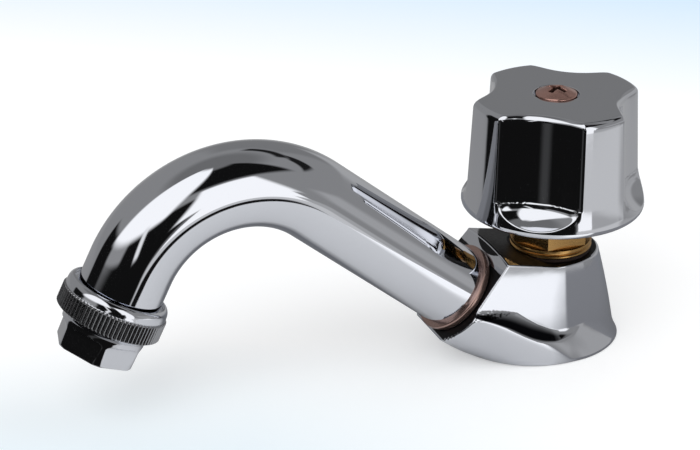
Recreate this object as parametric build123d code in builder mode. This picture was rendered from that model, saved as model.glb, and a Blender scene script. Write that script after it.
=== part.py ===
from build123d import *
import math
import os

# Basin tap with a rising-spindle valve and a fixed bent spout.
# Millimetres. The origin is on the valve axis, in the plane of the basin's deck. +Z is up and the spout
# runs towards -X. Spout sizes are measured along its own axis, from the face that it is screwed against.

# Body: foot, block and machined faces
foot_length = 43.6          # oval foot along X
foot_width = 37.0           # oval foot along Y
foot_shift = 2.8            # centre of the oval, towards the spout
tower_foot_radius = 19.0    # tower's back at the deck
tower_rim_radius = 13.0     # round rim about the valve
foot_ledge = 2.5            # the foot stands out this far beside the block
rim_height = 26.5
spot_face_radius = 11.8     # machined seat for the headwork's flange
crown_start = 4.0           # where the top starts to climb towards the spout
crown_reach = 14.2          # how far the crown stands above the spout's axis, along the face
block_reach = 46.0          # block before its spout face is machined
block_height = 36.0         # block before its top is machined
boss_radius = 15.6          # round boss behind the spout face
boss_underside = 12.9       # flat underside of the boss, below the spout's axis
ledge_height = 7.2          # top of the flared foot, beside the tower
ledge_bend = 8.0            # where the ledge starts to climb towards the spout
ledge_drop = 1.4            # ledge at the spout face, below the spout's axis
ledge_overlap = 2.0         # how far the block reaches down into the foot

# Body: waterway
inlet_radius = 9.3          # G1/2 socket, tapping size
inlet_depth = 9.0
port_radius = 4.75
chamber_floor = 11.5
seat_height = 13.5
seat_lip_radius = 6.3
side_port_radius = 3.2
side_port_height = 15.4
seal_recess_depth = 2.2
foot_wall = 3.0
inlet_boss_wall = 3.4

# Spout joint
spout_rise = 39.2           # degrees above the deck
joint_reach = 27.5          # centre of the spout face from the valve axis
joint_height = 18.4
socket_radius = 8.35        # G3/8 thread, plain bore here
socket_depth = 11.0
thread_clearance = 0.05

# Spout
tube_radius = 11.0
tube_wall = 1.0
tube_climb = 50.4           # straight length from the washer to the bend
bend_radius = 32.0
bend_turn = 102.9           # degrees
tube_drop = 9.6             # straight length from the bend to the knurled collar
solder_gap = 0.05
nipple_length = 10.0
nipple_bore_radius = 6.2
washer_thickness = 2.0
washer_radius = 12.4
washer_chamfer = 0.4

# Outlet
sleeve_radius = 12.0        # M24 x 1 thread, plain here
sleeve_length = 5.0
sleeve_engagement = 3.0     # how far the tube and sleeve go past the top of the knurling
collar_radius = 13.9
collar_height = 5.4
collar_rise = 3.0           # smooth shoulder above the knurling
collar_lip_radius = 13.4
collar_lip_rounding = 0.9
knurl_count = 78
knurl_depth = 0.35
nozzle_top_radius = 11.2
nozzle_radius = 10.6
nozzle_length = 9.2
nozzle_across_flats = 19.4
flat_length = 6.4
nozzle_turn = 13.0          # the nozzle screws on, so its flats can stop at any angle
nozzle_bore_radius = 9.55
nozzle_lip_radius = 8.6
nozzle_lip_height = 2.0
aerator_washer_thickness = 1.5
cartridge_wall = 1.0
cartridge_web = 1.2
cartridge_hole_count = 6
cartridge_hole_radius = 1.1
screen_count = 3
screen_thickness = 0.3
screen_gap = 0.4

# Headwork
gasket_thickness = 0.8
gasket_inner_radius = 8.6
gasket_radius = 10.8
flange_radius = 11.0
flange_height = 2.5
hexagon_across_flats = 19.0
hexagon_height = 6.2
neck_radius = 7.0
neck_height = 6.0
bonnet_thread_radius = 8.3
bonnet_thread_length = 8.0
bonnet_bore_radius = 6.7
stop_height = 27.0          # shoulder in the bonnet that stops the spindle
spindle_thread_radius = 5.0
running_clearance = 0.08
stuffing_box_radius = 6.0
stuffing_box_floor = 37.0
packing_height = 4.0
follower_height = 2.4
gland_across_flats = 17.0
gland_wall = 2.1
gland_skirt = 4.6           # how far the gland nut reaches down over the neck

# Spindle and valve disc
spindle_radius = 4.0
spindle_head_radius = 6.3
spindle_head_height = 4.0
spindle_thread_top = 32.0
spindle_top = 58.0
spline_foot = 48.0
spline_count = 16
spline_depth = 0.45
screw_hole_depth = 12.0
washer_height = 3.0
valve_washer_radius = 6.0
jumper_plate_radius = 6.4
jumper_plate_height = 1.7
jumper_stem_radius = 2.5
jumper_stem_length = 3.4
stem_clearance = 0.1
jumper_tail_radius = 1.95
jumper_nut_across_flats = 7.0
jumper_nut_height = 2.4

# Knob
knob_foot = 39.0
knob_top = 70.5
skirt_radius = 24.4
skirt_edge_radius = 1.8
skirt_height = 2.5          # straight lower edge, before it tapers into the lobes
skirt_top_radius = 23.8
skirt_top = 46.6
scoop_radius = 21.0         # the cutter's round end that finishes each flute, seen from above
scoop_depth = 7.9
scoop_centre_height = 46.7
lobe_count = 4
lobe_angle = 8.0            # first lobe, degrees from +X
lobe_top_radius = 22.7
lobe_foot_radius = 24.1
flute_top_radius = 17.4
flute_foot_radius = 18.7
flute_arc_radius = 20.4
lobe_corner_radius = 2.4
knob_edge_radius = 1.2
knob_cavity_radius = 15.2
knob_cavity_top = 66.5
skirt_wall = 3.4
skirt_lip = 0.8
knob_boss_radius = 8.0
knob_boss_foot = 48.4
spline_clearance = 0.05
screw_recess_radius = 6.0
screw_recess_depth = 1.5
screw_head_radius = 5.5
screw_rim_height = 1.5
screw_dome_height = 1.7
screw_shank_radius = 2.0
screw_clearance = 0.05
screw_length = 18.0
cross_width = 1.5
cross_length = 5.6
cross_depth = 1.7

# Places that follow from the sizes
rise = math.radians(spout_rise)
outlet_angle = math.radians(bend_turn - spout_rise)
spout_face = Plane(
    origin=(-joint_reach, 0, joint_height),
    x_dir=(math.sin(rise), 0, math.cos(rise)),
    z_dir=(-math.cos(rise), 0, math.sin(rise)),
)
spout_foot = spout_face.offset(washer_thickness)
bend_start = spout_foot.offset(tube_climb)
bend_centre = bend_start.origin - bend_start.x_dir * bend_radius
outlet_x_dir = Vector(-math.sin(outlet_angle), 0, math.cos(outlet_angle))
outlet_dir = Vector(-math.cos(outlet_angle), 0, -math.sin(outlet_angle))
bend_end = bend_centre + outlet_x_dir * bend_radius
outlet = Plane(origin=bend_end + outlet_dir * tube_drop, x_dir=outlet_x_dir, z_dir=outlet_dir)
tube_end = outlet.offset(sleeve_engagement)
flange_foot = rim_height + gasket_thickness
hexagon_foot = flange_foot + flange_height
neck_foot = hexagon_foot + hexagon_height
neck_top = neck_foot + neck_height
plate_foot = seat_height + washer_height
plate_top = plate_foot + jumper_plate_height
recess_floor = knob_top - screw_recess_depth
block_foot_half_width = foot_width / 2 - foot_ledge
first_flute = lobe_angle + 180 / lobe_count


def turned(base, outline, mode=Mode.ADD):
    """Revolve a closed half outline of (radius, height) points about the normal of the base plane."""
    across = Plane(origin=base.origin, x_dir=base.y_dir, z_dir=base.y_dir.cross(base.z_dir))
    with BuildSketch(across) as half:
        with BuildLine():
            Polyline(*outline, close=True)
        make_face()
    revolve(half.sketch, axis=Axis(base.origin, base.z_dir), mode=mode)


def ring(base, inner, outer, foot, top):
    """A plain ring about the base plane's normal."""
    turned(base, [(inner, foot), (outer, foot), (outer, top), (inner, top)])


def at_height(foot_value, rim_value, height):
    """Size of the drafted block at a height, from its sizes at the deck and at the rim."""
    return foot_value + (rim_value - foot_value) * height / rim_height


def block_outline(height):
    """Plan of the block: half an ellipse about the valve, and straight sides towards the spout."""
    half_width = at_height(block_foot_half_width, tower_rim_radius, height)
    back = at_height(tower_foot_radius, tower_rim_radius, height)
    with BuildSketch(Plane.XY.offset(height)) as plan:
        with BuildLine():
            EllipticalCenterArc((0, 0), back, half_width, start_angle=-90, arc_size=180)
            Line((0, half_width), (-block_reach, half_width))
            Line((-block_reach, half_width), (-block_reach, -half_width))
            Line((-block_reach, -half_width), (0, -half_width))
        make_face()
    return plan.sketch


def lobed_outline(height, lobe_radius, flute_radius):
    """Plan of the knob: a round cut by four wide flutes, with its corners rounded."""
    with BuildSketch(Plane.XY.offset(height)) as plan:
        Circle(lobe_radius)
        with PolarLocations(flute_radius + flute_arc_radius, lobe_count, start_angle=first_flute):
            Circle(flute_arc_radius, mode=Mode.SUBTRACT)
        fillet(plan.vertices(), lobe_corner_radius)
    return plan.sketch


def spline_outline(base, clearance=0):
    """Plan of the splined end: V grooves round a shaft, grown by a clearance for the socket."""
    groove = spline_depth * math.sqrt(2)
    with BuildSketch(base) as section:
        Circle(spindle_radius)
        with PolarLocations(spindle_radius, spline_count):
            Rectangle(groove, groove, rotation=45, mode=Mode.SUBTRACT)
        if clearance:
            offset(amount=clearance, kind=Kind.INTERSECTION)
    return section.sketch


def machined_to(side_view):
    """Keep what lies inside a side view, given as (x, z) points."""
    with BuildSketch(Plane.XZ) as profile:
        with BuildLine():
            Polyline(*side_view, close=True)
        make_face()
    extrude(profile.sketch, amount=foot_width, both=True, mode=Mode.INTERSECT)


# Body
crown_tip = spout_face.origin + spout_face.x_dir * crown_reach
boss_tip = spout_face.origin - spout_face.x_dir * boss_underside
ledge_tip = spout_face.origin - spout_face.x_dir * ledge_drop
underside_run = boss_tip.Z / math.tan(rise)

with BuildSketch(Plane.XY) as seal_outline:
    with Locations((-foot_shift, 0)):
        Ellipse(foot_length / 2 - foot_wall, foot_width / 2 - foot_wall)
    Circle(inlet_radius + inlet_boss_wall, mode=Mode.SUBTRACT)

with BuildPart() as block:
    loft([block_outline(0), block_outline(block_height)], ruled=True)
    machined_to([
        (foot_length, 0),
        (foot_length, rim_height),
        (-crown_start, rim_height),
        (crown_tip.X, crown_tip.Z),
        (ledge_tip.X - ledge_overlap * math.sin(rise), ledge_tip.Z - ledge_overlap * math.cos(rise)),
        (-ledge_bend, ledge_height - ledge_overlap),
        (-ledge_bend + ledge_height, 0),
    ])

with BuildPart() as foot:
    with BuildSketch(Plane.XY):
        with Locations((-foot_shift, 0)):
            Ellipse(foot_length / 2, foot_width / 2)
    with BuildSketch(spout_face):
        Circle(boss_radius)
    loft(ruled=True)
    machined_to([
        (foot_length, 0),
        (foot_length, ledge_height),
        (-ledge_bend, ledge_height),
        (ledge_tip.X, ledge_tip.Z),
        (boss_tip.X, boss_tip.Z),
        (boss_tip.X + underside_run, 0),
    ])

with BuildPart() as body:
    add(block)
    add(foot)
    with BuildSketch(Plane.XY.offset(rim_height)):
        Circle(spot_face_radius)
    extrude(amount=block_height, mode=Mode.SUBTRACT)
    turned(Plane.XY, [
        (0, 0),
        (inlet_radius, 0),
        (inlet_radius, inlet_depth),
        (port_radius, inlet_depth),
        (port_radius, seat_height),
        (seat_lip_radius, seat_height),
        (seat_lip_radius, chamber_floor),
        (bonnet_thread_radius + thread_clearance, chamber_floor),
        (bonnet_thread_radius + thread_clearance, block_height),
        (0, block_height),
    ], mode=Mode.SUBTRACT)
    with BuildSketch(spout_face):
        Circle(socket_radius)
    extrude(amount=-socket_depth, mode=Mode.SUBTRACT)
    with BuildSketch(Plane.YZ.offset(-bonnet_thread_radius)):
        with Locations((0, side_port_height)):
            Circle(side_port_radius)
    extrude(amount=-side_port_radius * 3, mode=Mode.SUBTRACT)
    extrude(seal_outline.sketch, amount=seal_recess_depth, mode=Mode.SUBTRACT)
body.part.label = "body"

with BuildPart() as base_seal:
    extrude(seal_outline.sketch, amount=seal_recess_depth)
base_seal.part.label = "base_seal"

# Headwork
with BuildPart() as bonnet_gasket:
    ring(Plane.XY, gasket_inner_radius, gasket_radius, rim_height, flange_foot)
bonnet_gasket.part.label = "bonnet_gasket"

with BuildPart() as bonnet:
    turned(Plane.XY, [
        (0, rim_height - bonnet_thread_length),
        (bonnet_thread_radius, rim_height - bonnet_thread_length),
        (bonnet_thread_radius, flange_foot),
        (flange_radius, flange_foot),
        (flange_radius, hexagon_foot),
        (neck_radius, hexagon_foot),
        (neck_radius, neck_top),
        (0, neck_top),
    ])
    with BuildSketch(Plane.XY.offset(hexagon_foot)):
        RegularPolygon(hexagon_across_flats / 2, 6, major_radius=False, rotation=30)
    extrude(amount=hexagon_height)
    turned(Plane.XY, [
        (0, 0),
        (bonnet_bore_radius, 0),
        (bonnet_bore_radius, stop_height),
        (spindle_thread_radius + running_clearance, stop_height),
        (spindle_thread_radius + running_clearance, stuffing_box_floor),
        (stuffing_box_radius, stuffing_box_floor),
        (stuffing_box_radius, neck_top),
        (0, neck_top),
    ], mode=Mode.SUBTRACT)
bonnet.part.label = "bonnet"

packing_top = stuffing_box_floor + packing_height
follower_top = packing_top + follower_height
shaft_bore = spindle_radius + running_clearance

with BuildPart() as gland_packing:
    ring(Plane.XY, shaft_bore, stuffing_box_radius - thread_clearance, stuffing_box_floor, packing_top)
gland_packing.part.label = "gland_packing"

with BuildPart() as gland_follower:
    ring(Plane.XY, shaft_bore, stuffing_box_radius - running_clearance, packing_top, follower_top)
gland_follower.part.label = "gland_follower"

with BuildPart() as gland_nut:
    with BuildSketch(Plane.XY.offset(follower_top - gland_skirt)):
        RegularPolygon(gland_across_flats / 2, 6, major_radius=False, rotation=30)
        Circle(neck_radius + thread_clearance, mode=Mode.SUBTRACT)
    extrude(amount=gland_skirt)
    with BuildSketch(Plane.XY.offset(follower_top)):
        RegularPolygon(gland_across_flats / 2, 6, major_radius=False, rotation=30)
        Circle(shaft_bore, mode=Mode.SUBTRACT)
    extrude(amount=gland_wall)
gland_nut.part.label = "gland_nut"

# Spindle and valve disc
with BuildPart() as spindle:
    turned(Plane.XY, [
        (0, plate_top),
        (spindle_head_radius, plate_top),
        (spindle_head_radius, plate_top + spindle_head_height),
        (spindle_thread_radius, plate_top + spindle_head_height),
        (spindle_thread_radius, spindle_thread_top),
        (spindle_radius, spindle_thread_top),
        (spindle_radius, spline_foot),
        (0, spline_foot),
    ])
    extrude(spline_outline(Plane.XY.offset(spline_foot)), amount=spindle_top - spline_foot)
    with Locations((0, 0, spindle_top)):
        Hole(screw_shank_radius + screw_clearance, screw_hole_depth)
    turned(Plane.XY, [
        (0, plate_top),
        (jumper_stem_radius + stem_clearance, plate_top),
        (jumper_stem_radius + stem_clearance, plate_top + jumper_stem_length + stem_clearance),
        (0, plate_top + jumper_stem_length + stem_clearance),
    ], mode=Mode.SUBTRACT)
spindle.part.label = "spindle"

with BuildPart() as valve_washer:
    ring(Plane.XY, jumper_tail_radius, valve_washer_radius, seat_height, plate_foot)
valve_washer.part.label = "valve_washer"

with BuildPart() as jumper:
    turned(Plane.XY, [
        (0, seat_height - jumper_nut_height),
        (jumper_tail_radius, seat_height - jumper_nut_height),
        (jumper_tail_radius, plate_foot),
        (jumper_plate_radius, plate_foot),
        (jumper_plate_radius, plate_top),
        (jumper_stem_radius, plate_top),
        (jumper_stem_radius, plate_top + jumper_stem_length),
        (0, plate_top + jumper_stem_length),
    ])
jumper.part.label = "jumper"

with BuildPart() as jumper_nut:
    with BuildSketch(Plane.XY.offset(seat_height - jumper_nut_height)):
        RegularPolygon(jumper_nut_across_flats / 2, 6, major_radius=False)
        Circle(jumper_tail_radius, mode=Mode.SUBTRACT)
    extrude(amount=jumper_nut_height)
jumper_nut.part.label = "jumper_nut"

# Knob: lobes lofted from two fluted plans, on a round skirt that a cutter with a round end has scooped
with BuildPart() as scoop:
    with BuildSketch(Plane.XZ):
        with BuildLine():
            EllipticalCenterArc((0, 0), scoop_radius, scoop_depth, start_angle=270, arc_size=90)
            Polyline((scoop_radius, 0), (0, 0), (0, -scoop_depth))
        make_face()
    revolve(axis=Axis.Z)

with BuildPart() as skirt:
    turned(Plane.XY, [
        (0, knob_foot),
        (skirt_radius, knob_foot),
        (skirt_radius, knob_foot + skirt_height),
        (skirt_top_radius, skirt_top),
        (0, skirt_top),
    ])
    fillet(skirt.faces().sort_by(Axis.Z)[0].edges(), skirt_edge_radius)
    with Locations((0, 0, scoop_centre_height)):
        with PolarLocations(flute_foot_radius + flute_arc_radius, lobe_count, start_angle=first_flute):
            add(scoop.part, mode=Mode.SUBTRACT)

with BuildPart() as knob:
    loft([
        lobed_outline(knob_foot + skirt_height, lobe_foot_radius, flute_foot_radius),
        lobed_outline(knob_top, lobe_top_radius, flute_top_radius),
    ], ruled=True)
    top_edges = knob.faces().sort_by(Axis.Z)[-1].edges()
    fillet(top_edges, knob_edge_radius)
    add(skirt.part)
    turned(Plane.XY, [
        (0, 0),
        (skirt_radius - skirt_wall, 0),
        (skirt_radius - skirt_wall, knob_foot + skirt_lip),
        (knob_cavity_radius, knob_foot + skirt_height),
        (knob_cavity_radius, knob_cavity_top),
        (0, knob_cavity_top),
    ], mode=Mode.SUBTRACT)
    with BuildSketch(Plane.XY.offset(knob_boss_foot)):
        Circle(knob_boss_radius)
    extrude(amount=knob_cavity_top - knob_boss_foot)
    socket = spline_outline(Plane.XY.offset(knob_boss_foot), spline_clearance)
    extrude(socket, amount=spindle_top - knob_boss_foot, mode=Mode.SUBTRACT)
    with Locations((0, 0, knob_top)):
        CounterBoreHole(
            screw_shank_radius + screw_clearance, screw_recess_radius,
            screw_recess_depth, knob_top - spindle_top,
        )
knob.part.label = "knob"

dome_foot = recess_floor + screw_rim_height
dome_top = dome_foot + screw_dome_height
dome_sphere_radius = (screw_head_radius ** 2 + screw_dome_height ** 2) / (2 * screw_dome_height)

with BuildPart() as knob_screw:
    turned(Plane.XY, [
        (0, recess_floor - screw_length),
        (screw_shank_radius, recess_floor - screw_length),
        (screw_shank_radius, recess_floor),
        (screw_head_radius, recess_floor),
        (screw_head_radius, dome_foot),
        (0, dome_foot),
    ])
    with BuildSketch(Plane.XZ) as dome:
        with BuildLine():
            Polyline((screw_head_radius, dome_foot), (0, dome_foot), (0, dome_top))
            RadiusArc((0, dome_top), (screw_head_radius, dome_foot), dome_sphere_radius)
        make_face()
    revolve(dome.sketch, axis=Axis.Z)
    with BuildSketch(Plane.XY.offset(dome_top)):
        Rectangle(cross_length, cross_width)
        Rectangle(cross_width, cross_length)
    extrude(amount=-cross_depth, mode=Mode.SUBTRACT)
knob_screw.part.label = "knob_screw"

# Spout
with BuildPart() as spout_washer:
    ring(spout_face, socket_radius, washer_radius, 0, washer_thickness)
    rims = spout_washer.edges().filter_by(GeomType.CIRCLE).group_by(SortBy.RADIUS)[-1]
    chamfer(rims, washer_chamfer)
spout_washer.part.label = "spout_washer"

with BuildPart() as spout_tube:
    with BuildLine() as spout_line:
        Line(spout_foot.origin, bend_start.origin)
        TangentArc(bend_start.origin, bend_end, tangent=bend_start.z_dir)
        Line(bend_end, tube_end.origin)
    with BuildSketch(spout_foot):
        Circle(tube_radius)
        Circle(tube_radius - tube_wall, mode=Mode.SUBTRACT)
    sweep(path=spout_line.line)
spout_tube.part.label = "spout_tube"

with BuildPart() as spout_connector:
    turned(spout_face, [
        (nipple_bore_radius, -socket_depth),
        (socket_radius - thread_clearance, -socket_depth),
        (socket_radius - thread_clearance, washer_thickness),
        (tube_radius - tube_wall - solder_gap, washer_thickness),
        (tube_radius - tube_wall - solder_gap, washer_thickness + nipple_length),
        (nipple_bore_radius, washer_thickness + nipple_length),
    ])
spout_connector.part.label = "spout_connector"

# Outlet
with BuildPart() as outlet_sleeve:
    ring(outlet, tube_radius, sleeve_radius, sleeve_engagement - sleeve_length, sleeve_engagement)
outlet_sleeve.part.label = "outlet_sleeve"

washer_seat = sleeve_engagement + aerator_washer_thickness
nozzle_end = collar_height + nozzle_length
lip_top = nozzle_end - nozzle_lip_height
housing_thread_radius = sleeve_radius + thread_clearance

with BuildPart() as aerator_housing:
    turned(outlet, [
        (housing_thread_radius, -collar_rise),
        (collar_lip_radius, -collar_rise),
        (collar_radius, 0),
        (collar_radius, collar_height),
        (nozzle_top_radius, collar_height + (collar_radius - nozzle_top_radius) / 2),
        (nozzle_radius, nozzle_end),
        (nozzle_lip_radius, nozzle_end),
        (nozzle_lip_radius, lip_top),
        (nozzle_bore_radius, lip_top),
        (nozzle_bore_radius, washer_seat),
        (housing_thread_radius, washer_seat),
    ])
    lip_edge = aerator_housing.edges().filter_by(GeomType.CIRCLE).filter_by(
        lambda edge: abs(edge.radius - collar_lip_radius) < thread_clearance
    )
    fillet(lip_edge, collar_lip_rounding)
    with BuildSketch(outlet):
        with PolarLocations(collar_radius, knurl_count):
            Rectangle(knurl_depth * math.sqrt(2), knurl_depth * math.sqrt(2), rotation=45)
    extrude(amount=collar_height, mode=Mode.SUBTRACT)
    with BuildSketch(outlet.offset(nozzle_end)):
        Circle(collar_radius)
        RegularPolygon(
            nozzle_across_flats / 2, 6, major_radius=False, rotation=nozzle_turn - 30, mode=Mode.SUBTRACT
        )
    extrude(amount=-flat_length, mode=Mode.SUBTRACT)
aerator_housing.part.label = "aerator_housing"

with BuildPart() as aerator_washer:
    ring(outlet, nozzle_lip_radius, sleeve_radius, sleeve_engagement, washer_seat)
aerator_washer.part.label = "aerator_washer"

cartridge_radius = nozzle_bore_radius - thread_clearance
screen_pitch = screen_thickness + screen_gap
web_top = lip_top - screen_count * screen_pitch

with BuildPart() as aerator_cartridge:
    turned(outlet, [
        (cartridge_radius - cartridge_wall, washer_seat),
        (cartridge_radius, washer_seat),
        (cartridge_radius, lip_top),
        (cartridge_radius - cartridge_wall, lip_top),
        (cartridge_radius - cartridge_wall, web_top),
        (0, web_top),
        (0, web_top - cartridge_web),
        (cartridge_radius - cartridge_wall, web_top - cartridge_web),
    ])
    with BuildSketch(outlet.offset(web_top)):
        with PolarLocations(cartridge_radius / 2, cartridge_hole_count):
            Circle(cartridge_hole_radius)
    extrude(amount=-cartridge_web, mode=Mode.SUBTRACT)
aerator_cartridge.part.label = "aerator_cartridge"

with BuildPart() as aerator_screens:
    for number in range(screen_count):
        screen_foot = web_top + screen_gap + number * screen_pitch
        ring(outlet, 0, cartridge_radius - cartridge_wall, screen_foot, screen_foot + screen_thickness)
aerator_screens.part.label = "aerator_screens"

pieces = [
    body, base_seal, bonnet_gasket, bonnet, gland_packing, gland_follower, gland_nut, spindle, valve_washer,
    jumper, jumper_nut, knob, knob_screw, spout_washer, spout_tube, spout_connector, outlet_sleeve,
    aerator_housing, aerator_washer, aerator_cartridge, aerator_screens,
]
os.makedirs("parts", exist_ok=True)
for piece in pieces:
    export_step(piece.part, f"parts/{piece.part.label}.step")
    print(piece.part.label, round(piece.part.volume, 1))
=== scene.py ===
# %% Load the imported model
import math
import bmesh
import bpy
import numpy as np
from mathutils import Matrix, Vector


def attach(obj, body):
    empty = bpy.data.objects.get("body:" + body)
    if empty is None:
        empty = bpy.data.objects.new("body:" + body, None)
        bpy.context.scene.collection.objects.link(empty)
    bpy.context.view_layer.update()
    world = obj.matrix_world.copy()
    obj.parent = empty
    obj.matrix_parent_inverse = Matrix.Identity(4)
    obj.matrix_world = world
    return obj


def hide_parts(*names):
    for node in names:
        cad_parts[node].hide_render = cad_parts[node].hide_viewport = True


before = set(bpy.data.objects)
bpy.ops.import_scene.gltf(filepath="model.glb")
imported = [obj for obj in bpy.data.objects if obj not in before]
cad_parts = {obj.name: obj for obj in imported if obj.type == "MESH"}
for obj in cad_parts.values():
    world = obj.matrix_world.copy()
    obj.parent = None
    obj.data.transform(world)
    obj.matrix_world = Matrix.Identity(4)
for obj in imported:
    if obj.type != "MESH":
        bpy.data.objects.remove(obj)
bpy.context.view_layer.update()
print("CAD pieces:", sorted(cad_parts))

# %% [markdown]
# # Dressing a basin tap
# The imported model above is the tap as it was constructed: every piece is there, at its real size, but its
# surfaces are flat little facets. Chrome plate shows every facet, because it is a mirror. So the pieces that
# show are made again here as fine, smooth skins of the same sizes, and the inner pieces keep their
# construction mesh and only get a finish. Sizes are in millimetres, and each finished piece is turned to
# metres in one place.

# %% Finish a piece
MILLIMETRE = 0.001
# Points that are nearer to each other than this become one.
MERGE_DISTANCE = 0.0005


def settle(bm, name, body, replaced, finish, sharp_degrees, dull=None, dull_where=None):
    """Turn a bmesh in millimetres into a piece in metres that rides on a body and stands for CAD nodes.

    Faces for which dull_where says yes get the second finish, dull, which on some pieces is painted shade."""
    bmesh.ops.remove_doubles(bm, verts=bm.verts, dist=MERGE_DISTANCE)
    bmesh.ops.recalc_face_normals(bm, faces=bm.faces)
    if dull:
        for face in bm.faces:
            face.material_index = int(dull_where(face))
    bmesh.ops.scale(bm, vec=(MILLIMETRE,) * 3, verts=bm.verts)
    mesh = bpy.data.meshes.new(name)
    bm.to_mesh(mesh)
    bm.free()
    mesh.shade_smooth()
    mesh.set_sharp_from_angle(angle=math.radians(sharp_degrees))
    for layer in (finish, dull):
        if layer:
            mesh.materials.append(layer)
    piece = bpy.data.objects.new(name, mesh)
    bpy.context.scene.collection.objects.link(piece)
    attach(piece, body)
    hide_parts(*replaced)
    print(name, "has", len(mesh.polygons), "faces")
    return piece


# %% [markdown]
# ## Skins
# Most pieces here are a skin: a ring of edges that is extruded again and again, with its points moved each
# time to where a function says. The same shape could be written as lists of vertices and faces, but an
# extrusion keeps the faces in order by itself, and the code only has to say where each row lies.

# %% Extrude rings
def extrude_ring(bm, edges):
    """Extrude a ring of edges on the spot, and give back its new vertices and edges."""
    grown = bmesh.ops.extrude_edge_only(bm, edges=edges)["geom"]
    ring = [item for item in grown if isinstance(item, bmesh.types.BMVert)]
    fresh = set(ring)
    edges = [
        item for item in grown
        if isinstance(item, bmesh.types.BMEdge) and item.verts[0] in fresh and item.verts[1] in fresh
    ]
    return ring, edges


def skin(rows, closed=True):
    """Extrude a ring of edges row by row. A row is an array of points, one for each vertex of the ring.

    A closed skin ends with its first row again. The two ends of an open one are filled."""
    bm = bmesh.new()
    around = bm.verts.layers.int.new("around")
    ring = bmesh.ops.create_circle(bm, segments=len(rows[0]), radius=1)["verts"]
    for number, vertex in enumerate(ring):
        vertex[around] = number
    edges = bm.edges[:]
    for number, row in enumerate(rows):
        if number:
            ring, edges = extrude_ring(bm, edges)
        for vertex in ring:
            vertex.co = row[vertex[around]]
    if not closed:
        bmesh.ops.holes_fill(bm, edges=bm.edges, sides=0)
    return bm


# %% Rows of a skin
def row_of(angles, radii, heights):
    """Points of one row from angles, radii and heights."""
    radii = np.broadcast_to(radii, angles.shape)
    heights = np.broadcast_to(heights, angles.shape)
    return np.stack([radii * np.cos(angles), radii * np.sin(angles), heights], axis=1)


def rows_between(low, high, steps):
    """Heights in equal steps from one row to another, without the first row's own."""
    return [low + (high - low) * share for share in np.linspace(0, 1, steps + 1)[1:]]


def over_edge(reach, top, edge, bends):
    """Radii and heights of rows that turn over a rounded upper edge, from upright at 0 to level at 90."""
    for degrees in bends:
        bend = math.radians(degrees)
        yield reach - edge * (1 - math.cos(bend)), top - edge + edge * math.sin(bend)


# %% [markdown]
# A casting has no knife edges. Where two of its surfaces meet, the skin follows the nearer or the further
# one, and the corner between them is rounded or hollow. A bevel could do that, but it breaks down where many
# small faces meet, so the rounding is part of the function that says how far out a point lies.

# %% Smooth ways to join two surfaces
def smooth_min(first, second, blend):
    """The smaller of two distances, with a rounded corner about as large as blend."""
    share = np.clip(0.5 + 0.5 * (second - first) / blend, 0, 1)
    return second + (first - second) * share - blend * share * (1 - share)


def smooth_max(first, second, blend):
    """The larger of two distances, with a hollow corner about as large as blend."""
    return -smooth_min(-first, -second, blend)


def soft_step(value, low, high):
    """0 below low, 1 above high, and a smooth rise between."""
    share = np.clip((value - low) / (high - low), 0, 1)
    return share * share * (3 - 2 * share)


# %% [markdown]
# ## The camera
# The photograph was taken with a long lens from the spout's side, a little above the tap. Position and lens
# were solved from the outlines of the round pieces, so the camera is given by its place and its turn.

# %% The camera
CAMERA_PLACE = Vector((-253.39, -491.95, 286.26)) * MILLIMETRE
CAMERA_AZIMUTH = math.radians(-21.65)
CAMERA_ELEVATION = math.radians(24.74)
LENS, SENSOR_WIDTH = 116.1, 36
NEAREST_SEEN = 10 * MILLIMETRE

camera = bpy.data.objects.new("camera", bpy.data.cameras.new("camera"))
camera.data.sensor_width = SENSOR_WIDTH
camera.data.lens = LENS
camera.data.clip_start = NEAREST_SEEN
camera.location = CAMERA_PLACE
camera.rotation_euler = (math.pi / 2 - CAMERA_ELEVATION, 0, CAMERA_AZIMUTH)
bpy.context.scene.collection.objects.link(camera)
bpy.context.scene.camera = camera
bpy.context.scene.view_settings.view_transform = "Standard"
print("lens", LENS, "mm, camera at", [round(value, 3) for value in camera.location])


# %% [markdown]
# ## Finishes
# Each finish starts from what the real one is. A colour is picked as an sRGB value, as in any paint program,
# and one function turns it to the linear value that a shader wants. A finish is a small tree of nodes, and
# one function adds a node with its settings and its links.

# %% Colours and nodes
def linear(hex_colour):
    """An sRGB hex colour as linear red, green, blue and alpha."""
    values = [int(hex_colour[start:start + 2], 16) / 255 for start in (0, 2, 4)]
    return [v / 12.92 if v <= 0.04045 else ((v + 0.055) / 1.055) ** 2.4 for v in values] + [1.0]


def add_node(tree, kind, inputs=None, **settings):
    """Add a node, set it, and set or link its inputs. An input is named by its label or its number."""
    node = tree.nodes.new(kind)
    for name, value in settings.items():
        setattr(node, name, value)
    for name, value in (inputs or {}).items():
        if isinstance(value, bpy.types.NodeSocket):
            tree.links.new(value, node.inputs[name])
        else:
            node.inputs[name].default_value = value
    return node


def new_finish(name):
    """A material with an empty tree, and its output node."""
    finish = bpy.data.materials.new(name)
    finish.use_nodes = True
    finish.node_tree.nodes.clear()
    return finish, finish.node_tree, add_node(finish.node_tree, "ShaderNodeOutputMaterial")


# %% [markdown]
# No real surface is perfectly even. A metal is polished a little better here than there, and a moulded
# piece has a fine grain. An image could show that, but a noise pattern in the piece's own coordinates needs
# no unwrapping, and its scale is a real size in millimetres. It drives a very low bump, and in a metal the
# roughness too.

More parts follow.
